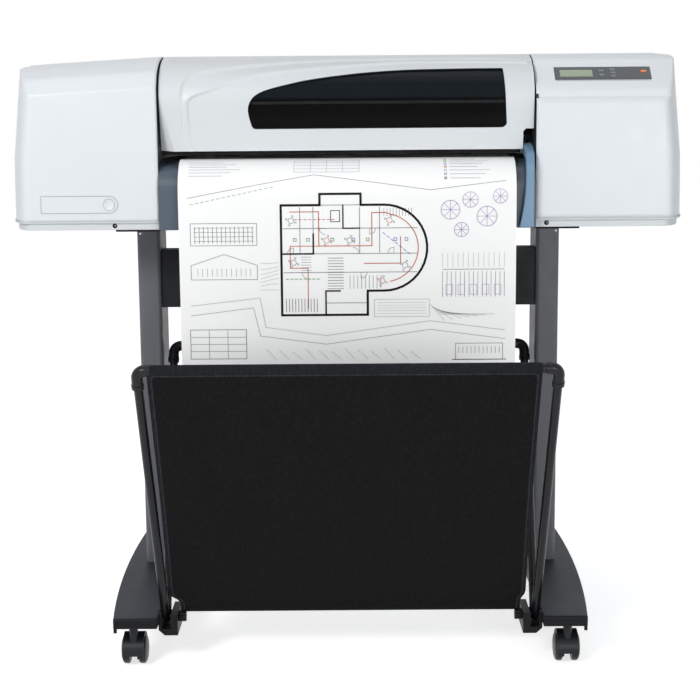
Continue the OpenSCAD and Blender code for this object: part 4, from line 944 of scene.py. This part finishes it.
bin_points = np.zeros((len(bin_path), cols, 3))
tangent = np.gradient(bin_path, axis=0)
tangent /= np.linalg.norm(tangent, axis=1)[:, None]
for i, (p, q, t) in enumerate(zip(bin_path, bin_q, tangent)):
    down = np.clip((q - sleeve_q) / (fold_q - sleeve_q), 0, 2)
    if down > 1:
        down = 2 - down
    corner = smooth_step(down, 0.905, 0.948)
    half_w = np.where(across < 0, LEFT_HALF, RIGHT_HALF)
    half_w = half_w - (half_w - FOLD_HALF) * corner
    loose = math.sin(math.pi * min(1.0, max(0.0, down))) if sleeve_q < q < rear_sleeve_q else 0.0
    ripple = loose * (1.6 * np.sin(across * 9.0 + 1.1 * math.sin(q * 0.012)) + 1.0 * np.sin(across * 23.0 + q * 0.02)
                      + 2.2 * np.sin(across * 3.1 + 0.7))
    drawn_in = 1 - 0.010 * loose * (np.abs(across) ** 6)
    bin_points[i] = np.stack([across * half_w * drawn_in, p[0] - t[1] * ripple, p[1] + t[0] * ripple], 1)
cloth = make("bin_canvas", bin_points.reshape(-1, 3), grid_faces(len(bin_path), cols), None, "canvas")
from_side = (1 - np.abs(across)) * 325.0 - SIDE_HEM
from_sleeve = np.minimum(bin_q - sleeve_q, rear_sleeve_q - bin_q) - SLEEVE_HEM
hem_mm = np.minimum(from_side[None, :], from_sleeve[:, None])
cloth.data.attributes.new("hem_mm", "FLOAT", "POINT").data.foreach_set("value", hem_mm.ravel())
tuple(at([0, -352.0, 130.0]))
tuple(at([0, -318.0, 120.0]))
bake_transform(cloth)
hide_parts("bin_front_fabric", "bin_rear_fabric")

# Trim plate on the left front: a raised outline with a round end and a plain disc
plate = [(-558, 818.5), (-433.5, 818.5)] + arc_of(-433.5, 834, 15.5, -90, 90, 16) + [(-558, 849.5), (-558, 818.5)]
tube("trim_plate_outline", [(x, FRONT, z) for x, z in fill(np.array(plate), 6.0)], 0.7, "root",
     "seam", 6)
lathe("trim_plate_disc", [(0.01, 0.5), (9.2, 0.5), (9.8, 0.9), (10.6, 0.9), (11.0, -0.5)], (-434, FRONT, 834),
      FORWARD, "root", "cover")
tube("trim_plate_ring", [(x, FRONT - 0.6, z) for x, z in arc_of(-434, 834, 10.4, 0, 360, 40)], 0.55, "root",
     "seam", 6)

# Screws in the base's lip, each on a flat dark disc of painted shade standing for its recess, and under the legs'
# tops, and the dark edge of the base beside the legs
LIP_FACE, LIP_Z = -233, 794.6
for side, tag, x in ((-1, "left", -425.4), (1, "right", 363.8)):
    # painted shade: a flat dark disc in place of the recess's hollow
    lathe("lip_recess_painted_shade_" + tag, [(0.01, 0.25), (4.4, 0.25), (4.9, -0.8)], (x, LIP_FACE, LIP_Z), FORWARD,
          "root", "shadow", 24)
    lathe("lip_screw_" + tag, [(0.01, 0.9), (2.2, 0.8), (2.7, 0.3)], (x + 1.4, LIP_FACE, LIP_Z), FORWARD,
          "root", "screw", 20)
    lathe("leg_screw_" + tag, [(0.01, 1.6), (2.4, 1.3), (3.2, 0)], (side * 403, -55, 764), FORWARD,
          "root", "rail", 20)
    xs = sorted((side * 343.5, side * 424))
    box("base_edge_" + tag, (xs[0], LIP_FACE, 783.8), (xs[1], -196, 786.9), "root", "shadow")

# Carried-over solids: material, and the width of the softened edges in millimetres
FINISH = {
    ("foot", 1.5): "left_foot right_foot",
    ("stand", 0.8): "left_leg right_leg",
    ("brace", 0.8): "cross_brace",
    ("black", 1.0): "foot_end_caps bin_brackets",
    ("black", 0.8): "bin_knob_left bin_knob_right ink_cartridges",
    ("black", 0.6): "printheads",
    ("tube", 0.5): "bin_rear_frame bin_front_frame",
    ("lip", 0.8): "base_pan",
    ("cover", 0.7): "service_door",
    ("cover", 0.5): "ink_lid",
    ("top", 0.6): "rear_cover",
    ("pane", 0): "window_pane",
    ("slate", 0.5): "front_platen",
    ("lever", 1.6): "media_lever",
    ("inner", 0.8): "carriage",
    ("inner", 0.6): "media_spindle service_station",
    ("inner", 0.5): "print_platen ink_station",
    ("inner", 0.4): "pinch_bar",
    ("inner", 0.3): "side_plates",
    ("alu", 0.5): "chassis_beam",
    ("alu", 0.3): "scan_pulley idler_pulley",
    ("rail", 0.3): "scan_rails",
    ("rubber", 0.4): "pinch_wheels",
    ("rubber", 0.2): "drive_belt drive_roller",
    ("brass", 0.1): "feed_pinion",
    ("steel", 0.6): "drive_motors",
    ("steel", 0.5): "electronics_box",
    ("roll", 0.4): "media_roll",
    ("panel", 0.4): "control_panel",
    ("lcd", 0.2): "lcd_screen",
    ("key", 0.5): "key_menu key_back key_up key_enter key_down",
    ("amber", 0.5): "key_power",
    ("caster", 0.8): " ".join("caster_hood_%s caster_wheels_%s" % (c, c) for c in ("fl", "fr", "rl", "rr")),
}
for (finish, edge), names in FINISH.items():
    for name in names.split():
        obj = nodes[name]
        obj.data.materials.clear()
        obj.data.materials.append(MAT[finish])
        if edge:
            soften(obj, edge)


# Stage: pale floor, soft studio light, white behind

def seen(tree):
    """1 for rays that show the surroundings: straight from the camera, mirrored or through glass."""
    light_path = tree.nodes.new("ShaderNodeLightPath").outputs
    total = light_path["Is Camera Ray"]
    for kind in ("Is Glossy Ray", "Is Transmission Ray"):
        total = math_node(tree, "MAXIMUM", total, light_path[kind])
    return total


floor_mesh = bpy.data.meshes.new("floor")
floor_mesh.from_pydata([(-9, -6, 0), (9, -6, 0), (9, 12, 0), (-9, 12, 0)], [], [(0, 1, 2, 3)])
floor = bpy.data.objects.new("floor", floor_mesh)
scene.collection.objects.link(floor)
floor_material, floor_tree, floor_shader = new_material("floor_white")
put(floor_shader, Base_Color=(0.85, 0.85, 0.85, 1), Roughness=0.9, Emission_Color=(1, 1, 1, 1))
glow = math_node(floor_tree, "MULTIPLY", seen(floor_tree), 0.66)
floor_tree.links.new(glow, floor_shader.inputs["Emission Strength"])
floor_mesh.materials.append(floor_material)

world = bpy.data.worlds.new("studio")
scene.world = world
world.use_nodes = True
sky = world.node_tree
sky.nodes.clear()
shown = node(sky, "ShaderNodeBackground", Color=(1, 1, 1, 1), Strength=1.0)
shining = node(sky, "ShaderNodeBackground", Color=(0.93, 0.96, 1.0, 1), Strength=0.38)
mixer = sky.nodes.new("ShaderNodeMixShader")
sky.links.new(seen(sky), mixer.inputs["Fac"])
sky.links.new(shining.outputs[0], mixer.inputs[1])
sky.links.new(shown.outputs[0], mixer.inputs[2])
sky.links.new(mixer.outputs[0], sky.nodes.new("ShaderNodeOutputWorld").inputs["Surface"])


def lamp(name, where, target, size, power):
    light = bpy.data.lights.new(name, "AREA")
    light.shape = "RECTANGLE"
    light.size, light.size_y = size
    light.energy = power
    obj = bpy.data.objects.new(name, light)
    obj.location = where
    obj.rotation_euler = (Vector(target) - Vector(where)).to_track_quat("-Z", "Y").to_euler()
    scene.collection.objects.link(obj)


lamp("key", (-2.0, -3.4, 2.5), (0, 0, 0.8), (0.9, 0.9), 78)
lamp("fill", (1.6, -3.9, 0.9), (0, 0, 0.7), (1.8, 1.0), 38)
lamp("sky", (0, 0.2, 3.6), (0, 0, 0.9), (3.0, 2.0), 12)

# Camera: the photograph's place, lens, pitch and slight roll
cam = bpy.data.cameras.new("camera")
cam.sensor_width = 36.0
cam.lens = 80.64
camera = bpy.data.objects.new("camera", cam)
pitch, yaw, roll = -0.169, 0.0035, 0.008
camera.location = (0.0128, -2.975, 1.050)
turn = Matrix.Rotation(yaw, 3, "Z") @ Matrix.Rotation(math.pi / 2 + pitch, 3, "X")
turn = turn @ Matrix.Rotation(-roll, 3, "Z")
camera.rotation_euler = turn.to_euler()
scene.collection.objects.link(camera)
scene.camera = camera
scene.view_settings.view_transform = "Standard"
